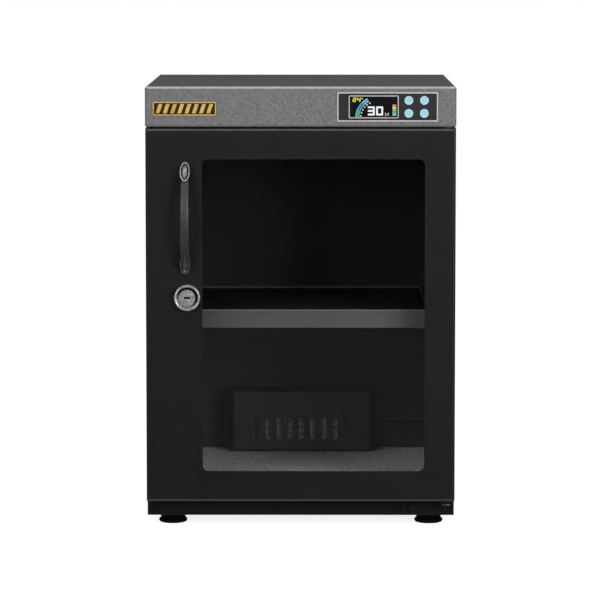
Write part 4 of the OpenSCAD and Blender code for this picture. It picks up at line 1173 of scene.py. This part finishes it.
@dataclass(frozen=True)
class ScrewKind:
    """A pan-head screw with a cross recess, or a rivet with a plain dome.

    The shares of the rim and the recess's depth are of the head's height, those of the crown's flat and the
    cross's arms and slots of its radius, and those of the tip and its bevel of the shank's radius.
    """

    head_r: float
    head_t: float
    shank_r: float
    length: float
    recess: bool = True
    segments: int = 40
    rim_share: float = 0.3
    flat_share: float = 0.35
    crown_cuts: int = 6
    tip_share: float = 0.8
    bevel_share: float = 0.3
    arm_share: float = 0.55
    slot_share: float = 0.13
    depth_share: float = 0.7
    taper_share: float = 0.45

    def profile(self) -> List[Flat]:
        """Gives the outline that turns into a screw.

        Returns:
            Its points as radius and height, from the tip to the top of the head.
        """
        tip, rim = -self.length, self.head_t * self.rim_share
        outline = [
            (0.0, tip), (self.shank_r * self.tip_share, tip),
            (self.shank_r, tip + self.shank_r * self.bevel_share), (self.shank_r, 0.0),
            (self.head_r, 0.0), (self.head_r, rim),
        ]
        for i in range(1, self.crown_cuts + 1):
            turn = i / self.crown_cuts * math.pi / 2
            reach = self.flat_share + (1 - self.flat_share) * math.cos(turn)
            outline.append((self.head_r * reach, rim + (self.head_t - rim) * math.sin(turn)))
        return outline + [(0.0, self.head_t)]

    def cross(self) -> bpy.types.Object:
        """Builds the cross that cuts the recess, narrower at its foot.

        Returns:
            A scratch object, which its user removes.
        """
        mesh = bmesh.new()
        arm, slot = self.head_r * self.arm_share, self.head_r * self.slot_share
        depth = self.head_t * self.depth_share
        for turn in (0.0, math.pi / 2):
            made = bmesh.ops.create_cube(mesh, size=1.0)["verts"]
            bmesh.ops.scale(mesh, verts=made, vec=(2 * arm, 2 * slot, 2 * depth))
            for spot in made:
                if spot.co.z < 0:
                    spot.co.x *= self.taper_share
            bmesh.ops.rotate(mesh, verts=made, matrix=Matrix.Rotation(turn, 3, "Z"))
            bmesh.ops.translate(mesh, verts=made, vec=(0, 0, self.head_t))
        return finish_piece("screw_cutter", mesh, STOCK.get("zinc_steel"), None)

    def template(self) -> bpy.types.Object:
        """Builds one screw that stands on z 0 with its head up.

        Returns:
            A scratch object, which its user removes.
        """
        mesh = bmesh.new()
        spots = [mesh.verts.new((r, 0.0, z)) for r, z in self.profile()]
        edges = [mesh.edges.new(pair) for pair in zip(spots, spots[1:])]
        bmesh.ops.spin(mesh, geom=spots + edges, cent=(0, 0, 0), axis=(0, 0, 1), angle=2 * math.pi,
                       steps=self.segments, use_duplicate=False)
        bmesh.ops.remove_doubles(mesh, verts=mesh.verts, dist=WELD)
        bmesh.ops.recalc_face_normals(mesh, faces=mesh.faces)
        body = finish_piece("screw_template", mesh, STOCK.get("zinc_steel"), smooth_below=40.0)
        if not self.recess:
            return body
        tool = self.cross()
        cut = body.modifiers.new("recess", "BOOLEAN")
        cut.operation = "DIFFERENCE"
        cut.solver = "EXACT"
        cut.use_self = True
        cut.object = tool
        baked(body)
        bpy.data.objects.remove(tool)
        return body


class Fasteners:
    """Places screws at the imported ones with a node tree, one object for each node and body."""

    def __init__(self) -> None:
        """Builds the node tree that stands a screw on every point."""
        tree = bpy.data.node_groups.new("Screws on points", "GeometryNodeTree")
        face = tree.interface
        face.new_socket(name="Geometry", in_out="INPUT", socket_type="NodeSocketGeometry")
        self.inputs = {
            name: face.new_socket(name=name, in_out="INPUT", socket_type=kind).identifier
            for name, kind in (("Screw", "NodeSocketObject"), ("Facing", "NodeSocketVector"),
                               ("Seed", "NodeSocketInt"), ("Material", "NodeSocketMaterial"))
        }
        face.new_socket(name="Geometry", in_out="OUTPUT", socket_type="NodeSocketGeometry")
        links = Links(tree)
        given = links.node("NodeGroupInput").outputs
        shape = links.fill(links.node("GeometryNodeObjectInfo"), {"Object": given["Screw"]})
        aim = links.fill(
            links.node("FunctionNodeAlignRotationToVector", axis="Z"), {"Vector": given["Facing"]}
        )
        chance = links.fill(
            links.node("FunctionNodeRandomValue", data_type="FLOAT"),
            {"Min": 0.0, "Max": math.pi, "Seed": given["Seed"]},
        )
        spin = links.fill(
            links.node("FunctionNodeAxisAngleToRotation"),
            {"Axis": (0.0, 0.0, 1.0), "Angle": chance.outputs["Value"]},
        )
        both = links.fill(
            links.node("FunctionNodeRotateRotation", rotation_space="LOCAL"),
            {"Rotation": aim.outputs["Rotation"], "Rotate By": spin.outputs["Rotation"]},
        )
        stood = links.fill(links.node("GeometryNodeInstanceOnPoints"), {
            "Points": given["Geometry"], "Instance": shape.outputs["Geometry"],
            "Rotation": both.outputs["Rotation"],
        })
        real = links.fill(
            links.node("GeometryNodeRealizeInstances"), {"Geometry": stood.outputs["Instances"]}
        )
        paint = links.fill(
            links.node("GeometryNodeSetMaterial"),
            {"Geometry": real.outputs["Geometry"], "Material": given["Material"]},
        )
        links.fill(links.node("NodeGroupOutput"), {"Geometry": paint.outputs["Geometry"]})
        self.tree = tree

    def stand(
        self, name: str, kind: ScrewKind, facing: Facing, points: Sequence[Point], slot: str, seed: int
    ) -> bpy.types.Object:
        """Stands one kind of screw on some points.

        Args:
            name: the object's name.
            kind: the screw's sizes.
            facing: where the heads look.
            points: the point under each head.
            slot: the record's slot of the finish.
            seed: sets how far each screw is turned.

        Returns:
            An object with a plain mesh.
        """
        template = kind.template()
        data = bpy.data.meshes.new(name)
        data.from_pydata(points, [], [])
        part = bpy.data.objects.new(name, data)
        bpy.context.scene.collection.objects.link(part)
        stand = part.modifiers.new("screws", "NODES")
        stand.node_group = self.tree
        inputs = {"Screw": template, "Facing": facing.value, "Seed": seed, "Material": STOCK.get(slot)}
        for key, value in inputs.items():
            stand[self.inputs[key]] = value
        baked(part)
        bpy.data.objects.remove(template)
        return part

    def place(self, node: str, groups: Sequence["ScrewGroup"], slot: str, body: str, seed: int) -> None:
        """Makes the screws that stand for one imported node.

        Args:
            node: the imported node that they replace.
            groups: the kinds of screw in it, with their places.
            slot: the record's slot of the finish.
            body: the body that they ride on.
            seed: sets how far each screw is turned.
        """
        name = node + "_set"
        parts = [
            self.stand(name, group.kind, group.facing, group.seats(node), slot, seed) for group in groups
        ]
        whole = parts[0]
        if len(parts) > 1:
            joined = bmesh.new()
            for part in parts:
                joined.from_mesh(part.data)
            joined.to_mesh(whole.data)
            joined.free()
            for part in parts[1:]:
                bpy.data.objects.remove(part)
        whole.name = name
        settle(whole, body, (node,))


@dataclass
class ScrewGroup:
    """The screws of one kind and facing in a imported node, between two heights."""

    kind: ScrewKind
    facing: Facing
    low: float = 0.0
    high: float = 1.0

    def seats(self, node: str) -> List[Point]:
        """Finds the point under each head.

        Args:
            node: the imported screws.

        Returns:
            A point for each screw.
        """
        found = []
        way = Vector(self.facing.value)
        for low, high in islands(node):
            if not self.low <= low.z <= self.high:
                continue
            centre = (low + high) / 2
            ends = (high[i] if way[i] > 0 else low[i] for i in range(3))
            top = Vector(end if way[i] else centre[i] for i, end in enumerate(ends))
            found.append(tuple(top - way * self.kind.head_t))
        return found


@dataclass
class ScrewSet:
    """All the cabinet's screws and rivets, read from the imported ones."""

    works: Fasteners = field(default_factory=Fasteners)
    slot: str = "zinc_steel"
    wide: ScrewKind = ScrewKind(head_r=3.6 * MM, head_t=2.4 * MM, shank_r=2.0 * MM, length=6.2 * MM)
    small: ScrewKind = ScrewKind(head_r=2.8 * MM, head_t=1.6 * MM, shank_r=1.5 * MM, length=3.9 * MM)
    handle_length: float = 4.7 * MM
    dryer_length: float = 22.6 * MM
    dryer_head_t: float = 1.5 * MM
    cam_length: float = 10.0 * MM
    rivet_length: float = 3.2 * MM
    lower_hinge_length: float = 5.7 * MM
    upper_hinge_length: float = 6.4 * MM
    hinge_level: float = 200.0 * MM

    def build(self) -> None:
        """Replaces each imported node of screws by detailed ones."""
        handle = replace(self.wide, length=self.handle_length)
        dryer = replace(self.small, length=self.dryer_length, head_t=self.dryer_head_t)
        cam = replace(self.small, length=self.cam_length)
        rivet = replace(self.small, length=self.rivet_length, recess=False)
        for node, body, kind, facing, seed in (
            ("foot_screws", "cabinet", self.wide, Facing.DOWN, 3),
            ("head_screws", "cabinet", self.small, Facing.BACK, 5),
            ("handle_screws", "door", handle, Facing.BACK, 7),
            ("dryer_screws", "cabinet", dryer, Facing.BACK, 11),
            ("cam_screw", "lock", cam, Facing.BACK, 13),
            ("strike_rivets", "cabinet", rivet, Facing.BACK, 17),
        ):
            self.works.place(node, [ScrewGroup(kind, facing)], self.slot, body, seed)
        lower = replace(self.wide, length=self.lower_hinge_length)
        upper = replace(self.small, length=self.upper_hinge_length)
        groups = [
            ScrewGroup(lower, Facing.FRONT, high=self.hinge_level),
            ScrewGroup(upper, Facing.UP, low=self.hinge_level),
        ]
        self.works.place("hinge_screws", groups, "black_steel", "cabinet", 19)


# Display


class Segment(Enum):
    """The strokes of a seven-stroke figure, as shares of its width and height."""

    TOP = ((0, 1), (1, 1))
    UPPER_RIGHT = ((1, 1), (1, 0.5))
    LOWER_RIGHT = ((1, 0.5), (1, 0))
    BOTTOM = ((1, 0), (0, 0))
    LOWER_LEFT = ((0, 0), (0, 0.5))
    UPPER_LEFT = ((0, 0.5), (0, 1))
    MIDDLE = ((0, 0.5), (1, 0.5))


FIGURES: Dict[str, Tuple[Segment, ...]] = {
    "0": (Segment.TOP, Segment.UPPER_RIGHT, Segment.LOWER_RIGHT, Segment.BOTTOM, Segment.LOWER_LEFT,
          Segment.UPPER_LEFT),
    "2": (Segment.TOP, Segment.UPPER_RIGHT, Segment.MIDDLE, Segment.LOWER_LEFT, Segment.BOTTOM),
    "3": (Segment.TOP, Segment.UPPER_RIGHT, Segment.MIDDLE, Segment.LOWER_RIGHT, Segment.BOTTOM),
    "4": (Segment.UPPER_LEFT, Segment.MIDDLE, Segment.UPPER_RIGHT, Segment.LOWER_RIGHT),
}


@dataclass(frozen=True)
class Row:
    """A row of figures, from its left edge and its foot.

    The size is between the middles of the strokes, and the lean is how far the top stands to the right.
    """

    text: str
    left: float
    low: float
    size: Flat
    gap: float
    line: float
    lean: float = 0.0


@dataclass
class Display:
    """The lit figures, the gauge and the scale, all placed from the screen's centre."""

    body: str = "cabinet"
    film: float = 0.06 * MM
    ease_share: float = 0.26
    disc_sides: int = 20
    gauge_center: Flat = (3.2 * MM, -10.8 * MM)
    gauge_r: float = 21.6 * MM
    gauge_w: float = 4.0 * MM
    gauge_split: float = 0.5 * MM
    gauge_from: float = 178.0
    gauge_to: float = 116.0
    gauge_steps: int = 14
    gauge_cuts: int = 4
    gauge_step_share: float = 0.9
    dot_ring: float = 16.1 * MM
    dot_r: float = 0.8 * MM
    dot_from: float = 174.0
    dot_step: float = -11.6
    dots: int = 6
    scale_x: Flat = (18.7 * MM, 22.3 * MM)
    scale_low: float = -8.7 * MM
    scale_tall: float = 11.2 * MM
    block_share: float = 0.88
    humidity: Row = Row("30", -5.9 * MM, -8.5 * MM, (5.15 * MM, 7.2 * MM), gap=1.4 * MM, line=1.75 * MM)
    temperature: Row = Row(
        "24", -21.2 * MM, 4.9 * MM, (2.5 * MM, 3.2 * MM), gap=0.7 * MM, line=1.1 * MM, lean=0.5 * MM
    )
    degree_spot: Flat = (-11.6 * MM, 8.3 * MM)
    degree_r: float = 0.75 * MM
    percent_spots: Tuple[Flat, Flat] = ((11.6 * MM, -6.7 * MM), (14.6 * MM, -8.3 * MM))
    percent_r: float = 0.65 * MM
    percent_bar: Tuple[Flat, Flat] = ((11.4 * MM, -8.9 * MM), (14.8 * MM, -6.1 * MM))
    percent_line: float = 0.7 * MM

    def __post_init__(self) -> None:
        """Finds the screen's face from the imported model."""
        self.center = (middle("lcd_screen").x, middle("lcd_screen").z)
        self.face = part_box("lcd_screen")[0].y

    def plate(self, mesh: bmesh.types.BMesh, outline: Sequence[Flat]) -> None:
        """Adds a lit plate on the screen.

        Args:
            mesh: the bmesh that it goes into.
            outline: its corners, from the screen's centre, anticlockwise.
        """
        cx, cz = self.center
        prism(mesh, [(cx + x, cz + z) for x, z in outline], self.face, self.face - self.film)

    def stroke(self, mesh: bmesh.types.BMesh, a: Flat, b: Flat, width: float) -> None:
        """Adds a straight stroke with eased ends that reach into its corners.

        Args:
            mesh: the bmesh that it goes into.
            a: its first end, from the screen's centre.
            b: its second end.
            width: its width.
        """
        start, end = Vector(a), Vector(b)
        along = (end - start).normalized()
        side = Vector((-along.y, along.x)) * width / 2
        tip = along * width / 2
        left = 1.0 - 2 * self.ease_share
        corners = [
            start - tip - side * left, start - tip * left - side, end + tip * left - side,
            end + tip - side * left, end + tip + side * left, end + tip * left + side,
            start - tip * left + side, start - tip + side * left,
        ]
        self.plate(mesh, [tuple(corner) for corner in corners])

    def figures(self, mesh: bmesh.types.BMesh, row: Row) -> None:
        """Adds a row of figures.

        Args:
            mesh: the bmesh that they go into.
            row: the figures, with their place and sizes.
        """
        for place, sign in enumerate(row.text):
            x0 = row.left + row.line / 2 + place * (row.size[0] + row.line + row.gap)
            z0 = row.low + row.line / 2
            for segment in FIGURES[sign]:
                ends = [(x0 + u * row.size[0] + v * row.lean, z0 + v * row.size[1]) for u, v in segment.value]
                self.stroke(mesh, ends[0], ends[1], row.line)

    def disc(self, mesh: bmesh.types.BMesh, spot: Flat, radius: float) -> None:
        """Adds a round plate at a point from the screen's centre."""
        self.plate(mesh, circle(radius, self.disc_sides, spot))

    def ring_part(
        self, mesh: bmesh.types.BMesh, start: float, end: float, inner: float, outer: float
    ) -> None:
        """Adds a part of the gauge's band.

        Args:
            mesh: the bmesh that it goes into.
            start: the angle in degrees where it starts.
            end: the angle where it ends, less than start.
            inner: its inner radius.
            outer: its outer radius.
        """
        cx, cz = self.gauge_center
        cuts = self.gauge_cuts
        turns = [math.radians(start + (end - start) * i / cuts) for i in range(cuts + 1)]
        outside = [(cx + outer * math.cos(turn), cz + outer * math.sin(turn)) for turn in turns]
        inside = [(cx + inner * math.cos(turn), cz + inner * math.sin(turn)) for turn in turns[::-1]]
        self.plate(mesh, (outside + inside)[::-1])

    def lit(self, name: str, mesh: bmesh.types.BMesh, color: Rgb, strength: float = 1.0) -> None:
        """Finishes one lit piece.

        Args:
            name: its name.
            mesh: its shape.
            color: its light.
            strength: how bright it is.
        """
        piece = finish_piece(name, mesh, Glow(name + "_light", color, strength).build(), None)
        settle(piece, self.body)

    def gauge(self) -> None:
        """Adds the curved band, in three tones, and the dots inside it."""
        tones = (
            ("gauge_low", (0.10, 0.48, 0.52)), ("gauge_middle", (0.07, 0.30, 0.62)),
            ("gauge_high", (0.16, 0.56, 0.72)),
        )
        step = (self.gauge_to - self.gauge_from) / self.gauge_steps
        share = self.gauge_steps / len(tones)
        centre_r, half_split = self.gauge_r - self.gauge_w / 2, self.gauge_split / 2
        for third, (name, color) in enumerate(tones):
            mesh = bmesh.new()
            for i in range(self.gauge_steps):
                if int(i / share) != third:
                    continue
                start = self.gauge_from + i * step
                end = start + step * self.gauge_step_share
                self.ring_part(mesh, start, end, centre_r + half_split, self.gauge_r)
                self.ring_part(mesh, start, end, self.gauge_r - self.gauge_w, centre_r - half_split)
            self.lit(name, mesh, color, strength=0.9)
        mesh = bmesh.new()
        cx, cz = self.gauge_center
        for i in range(self.dots):
            turn = math.radians(self.dot_from + i * self.dot_step)
            spot = (cx + self.dot_ring * math.cos(turn), cz + self.dot_ring * math.sin(turn))
            self.disc(mesh, spot, self.dot_r)
        self.lit("gauge_dots", mesh, (0.72, 0.66, 0.22), strength=0.9)

    def scale(self) -> None:
        """Adds the upright bar of coloured blocks."""
        blocks = (
            ("scale_low", (0.20, 0.55, 0.62)), ("scale_fair", (0.09, 0.45, 0.36)),
            ("scale_good", (0.26, 0.50, 0.16)), ("scale_warm", (0.72, 0.68, 0.16)),
            ("scale_high", (0.72, 0.26, 0.12)),
        )
        pitch = self.scale_tall / len(blocks)
        left, right = self.scale_x
        for place, (name, color) in enumerate(blocks):
            mesh = bmesh.new()
            low, high = self.scale_low + place * pitch, self.scale_low + (place + self.block_share) * pitch
            self.plate(mesh, [(left, low), (right, low), (right, high), (left, high)])
            self.lit(name, mesh, color, strength=0.95)

    def build(self) -> None:
        """Adds everything that is lit on the screen."""
        self.gauge()
        self.scale()
        mesh = bmesh.new()
        self.figures(mesh, self.humidity)
        self.lit("humidity_figures", mesh, (0.86, 0.87, 0.9))
        mesh = bmesh.new()
        self.figures(mesh, self.temperature)
        self.disc(mesh, self.degree_spot, self.degree_r)
        self.lit("temperature_figures", mesh, (0.62, 0.60, 0.04))
        mesh = bmesh.new()
        for spot in self.percent_spots:
            self.disc(mesh, spot, self.percent_r)
        self.stroke(mesh, *self.percent_bar, self.percent_line)
        self.lit("percent_mark", mesh, (0.55, 0.56, 0.56), strength=0.9)


# Keys


class Mark(Enum):
    """The sign on each key."""

    UP = "up"
    DOWN = "down"
    MODE = "mode"
    LAMP = "lamp"


@dataclass
class Keys:
    """The printed ring and sign on each round key.

    The arrow's shares and the spot's are of the sign's size, which is half its width.
    """

    film: float = 0.05 * MM
    ring_r: float = 2.5 * MM
    ring_w: float = 0.55 * MM
    size: float = 1.25 * MM
    line: float = 0.75 * MM
    foot_share: float = -0.6
    tip_share: float = 0.2
    spot_share: float = 0.6
    sides: int = 24

    def sign(self, mark: Mark) -> List[Flat]:
        """Draws a key's sign.

        Args:
            mark: which sign.

        Returns:
            Its anticlockwise outline about the key's centre.
        """
        half, line = self.size, self.line
        foot, tip = self.foot_share * half, self.tip_share * half
        arrow = [
            (-half, foot), (0, tip), (half, foot), (half, foot + line), (0, tip + line), (-half, foot + line),
        ]
        signs = {
            Mark.UP: arrow,
            Mark.DOWN: [(x, -z) for x, z in arrow[::-1]],
            Mark.MODE: [(-half, -line / 2), (half, -line / 2), (half, line / 2), (-half, line / 2)],
            Mark.LAMP: circle(half * self.spot_share, self.sides),
        }
        return signs[mark]

    def ring(self) -> List[List[Flat]]:
        """Gives the plates of the ring about the sign."""
        outer, inner = circle(self.ring_r, self.sides), circle(self.ring_r - self.ring_w, self.sides)
        return [[inner[i - 1], outer[i - 1], outer[i], inner[i]] for i in range(self.sides)]

    def build(self) -> None:
        """Adds a ring and sign to each key, which move with it."""
        ink = Finish(
            "key_ink", (0.13, 0.50, 0.62), 0.4, grain_scale=1200.0, grain_depth=0.006 * MM, tone=0.1, dust=0.0
        ).build()
        for mark in Mark:
            centre, front = middle(f"button_{mark.value}"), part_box(f"button_{mark.value}")[0].y
            mesh = bmesh.new()
            for outline in self.ring() + [self.sign(mark)]:
                prism(mesh, [(centre.x + x, centre.z + z) for x, z in outline], front, front - self.film)
            settle(finish_piece(f"key_{mark.value}_sign", mesh, ink, None), f"key_{mark.value}")


# Lock


@dataclass
class Keyway:
    """The dust shutter deep in the key slot, of two leaves with a step between them, near black as painted
    shade in the slot.
    """

    width: float = 6.4 * MM
    height: float = 2.0 * MM
    inset: float = 0.5 * MM
    depth: float = 0.6 * MM
    gap: float = 0.12 * MM
    step: float = 0.12 * MM

    def build(self) -> None:
        """Adds the shutter in the plug's slot."""
        centre, front = middle("lock_plug"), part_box("lock_plug")[0].y + self.inset
        left, right = centre.x - self.width / 2, centre.x + self.width / 2
        mesh = bmesh.new()
        lower, upper = (-self.height / 2, -self.gap / 2, 0.0), (self.gap / 2, self.height / 2, self.step)
        for foot, top, step in (lower, upper):
            low, high = centre.z + foot, centre.z + top
            leaf = ((left, low), (right, low), (right, high), (left, high))
            prism(mesh, leaf, front + self.depth, front + step)
        # Near black, as painted shade in the key slot
        slot_shade = Finish("keyway_dark", (0.002, 0.002, 0.002), 0.7, specular=0.1, dust=0.0).build()
        settle(finish_piece("keyway_shutter", mesh, slot_shade, None), "lock")


# Foam


@dataclass
class Mat:
    """A foam mat with soft edges and a surface that things have rested on.

    The waves are in radians for each metre, and the ease is how many edge widths the sag takes to set in.
    """

    node: str
    body: str
    slot: str
    edge: float
    sag: float
    seed: int
    edge_cuts: int = 4
    edge_profile: float = 0.6
    cuts: int = 56
    clear_share: float = 1.5
    top_share: float = 0.3
    ease: float = 4.0
    waves: int = 9
    wave_span: Flat = (12.0, 60.0)
    wave_start: float = 6.3
    wave_height: Flat = (0.4, 1.0)
    fill: float = 0.9

    def cut(self, mesh: bmesh.types.BMesh, low: Vector, high: Vector) -> None:
        """Cuts the block into a grid, so that its top can sag.

        Args:
            mesh: the block.
            low: its lowest corner.
            high: its highest corner.
        """
        size = high - low
        for axis in (0, 1):
            normal = Vector((0.0, 0.0, 0.0))
            normal[axis] = 1.0
            for i in range(1, self.cuts):
                spot = low.copy()
                spot[axis] = low[axis] + size[axis] * i / self.cuts
                if min(spot[axis] - low[axis], high[axis] - spot[axis]) > self.edge * self.clear_share:
                    bmesh.ops.bisect_plane(mesh, geom=mesh.verts[:] + mesh.edges[:] + mesh.faces[:],
                                           plane_co=spot, plane_no=normal, dist=WELD)

    def press(self, mesh: bmesh.types.BMesh, low: Vector, high: Vector) -> None:
        """Lets the top sag a little in waves, and not at its edges.

        Args:
            mesh: the block.
            low: its lowest corner.
            high: its highest corner.
        """
        rng = np.random.default_rng(self.seed)
        waves = [(rng.uniform(*self.wave_span), rng.uniform(*self.wave_span), rng.uniform(0, self.wave_start),
                  rng.uniform(*self.wave_height)) for _ in range(self.waves)]
        total = sum(height for _, _, _, height in waves)
        for spot in mesh.verts:
            if spot.co.z > high.z - self.edge * self.top_share:
                x, y = spot.co.x, spot.co.y
                inset = min(x - low.x, high.x - x, y - low.y, high.y - y)
                ease = min(1.0, max(0.0, inset / (self.ease * self.edge)))
                wave = sum(height * math.sin(u * x + v * y + start) for u, v, start, height in waves) / total
                spot.co.z -= self.sag * ease * (1 + wave) / 2

    def build(self) -> None:
        """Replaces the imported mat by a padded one."""
        low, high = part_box(self.node)
        mesh = bmesh.new()
        bmesh.ops.create_cube(mesh, size=1.0)
        bmesh.ops.scale(mesh, verts=mesh.verts, vec=high - low)
        bmesh.ops.translate(mesh, verts=mesh.verts, vec=middle(self.node))
        bmesh.ops.bevel(mesh, geom=list(mesh.edges), offset=self.edge, segments=self.edge_cuts,
                        profile=self.edge_profile, affect="EDGES")
        self.cut(mesh, low, high)
        self.press(mesh, low, high)
        piece = finish_piece(self.node + "_foam", mesh, STOCK.get(self.slot), smooth_below=60.0)
        settle(piece, self.body, (self.node,))


# Studio


@dataclass(frozen=True)
class Lamp:
    """One soft lamp."""

    name: str
    place: Point
    target: Point
    size: Flat
    power: float

    def build(self) -> None:
        """Adds the lamp, turned to its target."""
        data = bpy.data.lights.new(self.name, "AREA")
        data.shape = "RECTANGLE"
        data.size, data.size_y = self.size
        data.energy = self.power
        lamp = bpy.data.objects.new(self.name, data)
        bpy.context.scene.collection.objects.link(lamp)
        lamp.location = self.place
        lamp.rotation_euler = (Vector(self.target) - Vector(self.place)).to_track_quat("-Z", "Y").to_euler()


AIM: Point = (0.0, 0.0, 0.25)


@dataclass
class Studio:
    """The white floor, the plain light and the camera.

    Two lamps aim at the cabinet's middle, and a long one over it aims at its head.
    """

    lamps: Tuple[Lamp, ...] = (
        Lamp("key", (-1.5, -2.7, 1.1), AIM, (1.2, 1.2), 30.0),
        Lamp("fill", (1.6, -2.6, 0.8), AIM, (1.2, 1.2), 50.0),
        Lamp("top", (0.0, -0.95, 1.75), (0.0, -0.15, 0.42), (1.8, 0.22), 5.0),
    )
    ambient: float = 0.30
    gloss: float = 0.16
    white: float = 1.0
    floor_half: float = 30.0
    floor_grey: float = 0.62
    floor_white: float = 0.84
    floor_gloss: float = 0.4
    flag_y: Flat = (-14.0, -0.2)
    flag_half: float = 3.0
    flag_z: float = 0.004
    strip_y: Flat = (-2.2, -0.45)
    strip_soft: float = 0.1
    strip_glow: float = 0.1
    eye: Point = (0.0133, -3.6995, 0.5836)
    eye_drop: float = 5.67
    eye_turn: float = 0.225
    sensor: float = 36.0
    lens: float = 213.8
    sight: float = 100.0

    def rays(self, links: Links) -> Tuple[Socket, Socket]:
        """Marks the rays that see the background.

        Args:
            links: the links helper of the surround or the floor.

        Returns:
            The mask of the eye's own rays, through glass too, and the mask of rays that a gloss has turned.
        """
        path = links.node("ShaderNodeLightPath").outputs
        turned = links.math("GREATER_THAN", path["Glossy Depth"], 0.5)
        through = path["Is Transmission Ray"]
        straight = links.product(through, links.math("SUBTRACT", 1.0, turned))
        direct = links.math("MAXIMUM", path["Is Camera Ray"], straight)
        glossy = links.math("MAXIMUM", path["Is Glossy Ray"], links.product(through, turned))
        return direct, glossy

    def world(self) -> None:
        """Sets a white surround to the eye and a plain grey light on the object."""
        world = bpy.data.worlds.new("studio")
        bpy.context.scene.world = world
        world.use_nodes = True
        world.node_tree.nodes.clear()
        links = Links(world.node_tree)
        direct, glossy = self.rays(links)
        grey = links.blend(glossy, (self.ambient,) * 3, (self.gloss,) * 3)
        seen = links.blend(direct, grey, (self.white,) * 3)
        links.show(links.fill(links.node("ShaderNodeBackground"), {"Color": seen}).outputs[0],
                   "ShaderNodeOutputWorld")

    def floor(self) -> None:
        """Adds the floor, which shows white and keeps the object's shadow."""
        mesh = bmesh.new()
        bmesh.ops.create_grid(mesh, x_segments=1, y_segments=1, size=self.floor_half)
        material, links = blank_material("studio_floor")
        direct, glossy = self.rays(links)
        plain = links.fill(links.node("ShaderNodeBsdfDiffuse"), {"Color": (*(self.floor_grey,) * 3, 1.0)})
        shown = links.total(links.product(direct, self.floor_white), links.product(glossy, self.floor_gloss))
        lit = links.fill(links.node("ShaderNodeEmission"), {"Strength": shown})
        both = links.node("ShaderNodeAddShader")
        links.join(plain.outputs[0], both.inputs[0])
        links.join(lit.outputs[0], both.inputs[1])
        links.show(both.outputs[0])
        finish_piece("floor", mesh, material, None)

    def flag(self) -> None:
        """Lays a dark card with a grey strip, which only gloss sees, so that the black paint stays black."""
        mesh = bmesh.new()
        (near, far), half = self.flag_y, self.flag_half
        corners = ((-half, near), (half, near), (half, far), (-half, far))
        mesh.faces.new([mesh.verts.new((x, y, self.flag_z)) for x, y in corners])
        material, links = blank_material("studio_flag")
        _, y, _ = links.split(links.place())
        strip = links.product(links.band(y, *self.strip_y, self.strip_soft), self.strip_glow)
        card = links.fill(links.node("ShaderNodeEmission"), {"Strength": strip})
        direct, _ = self.rays(links)
        links.show(links.mix(direct, card.outputs[0], links.node("ShaderNodeBsdfTransparent").outputs[0]))
        piece = finish_piece("flag", mesh, material, None)
        for sight in ("camera", "diffuse", "volume_scatter", "shadow"):
            setattr(piece, f"visible_{sight}", False)

    def camera(self) -> None:
        """Sets the camera where the photograph was taken from."""
        data = bpy.data.cameras.new("camera")
        data.sensor_width = self.sensor
        data.lens = self.lens
        data.clip_end = self.sight
        camera = bpy.data.objects.new("camera", data)
        bpy.context.scene.collection.objects.link(camera)
        camera.location = self.eye
        camera.rotation_euler = (math.radians(90 - self.eye_drop), 0.0, math.radians(self.eye_turn))
        bpy.context.scene.camera = camera

    def build(self) -> None:
        """Sets up the whole studio."""
        bpy.context.scene.view_settings.view_transform = "Standard"
        self.camera()
        self.world()
        self.floor()
        self.flag()
        for lamp in self.lamps:
            lamp.build()


def main() -> None:
    """Dresses the cabinet piece by piece."""
    logging.basicConfig(level=logging.INFO, format="%(name)s: %(message)s")
    Studio().build()
    STOCK.dress_nodes()
    ScrewSet().build()
    Display().build()
    Keys().build()
    Keyway().build()
    Mat("shelf_mat", "tray", "shelf_foam", edge=2.5 * MM, sag=0.5 * MM, seed=21).build()
    Mat("floor_mat", "cabinet", "floor_foam", edge=4.0 * MM, sag=0.8 * MM, seed=22).build()


if __name__ == "__main__":
    main()
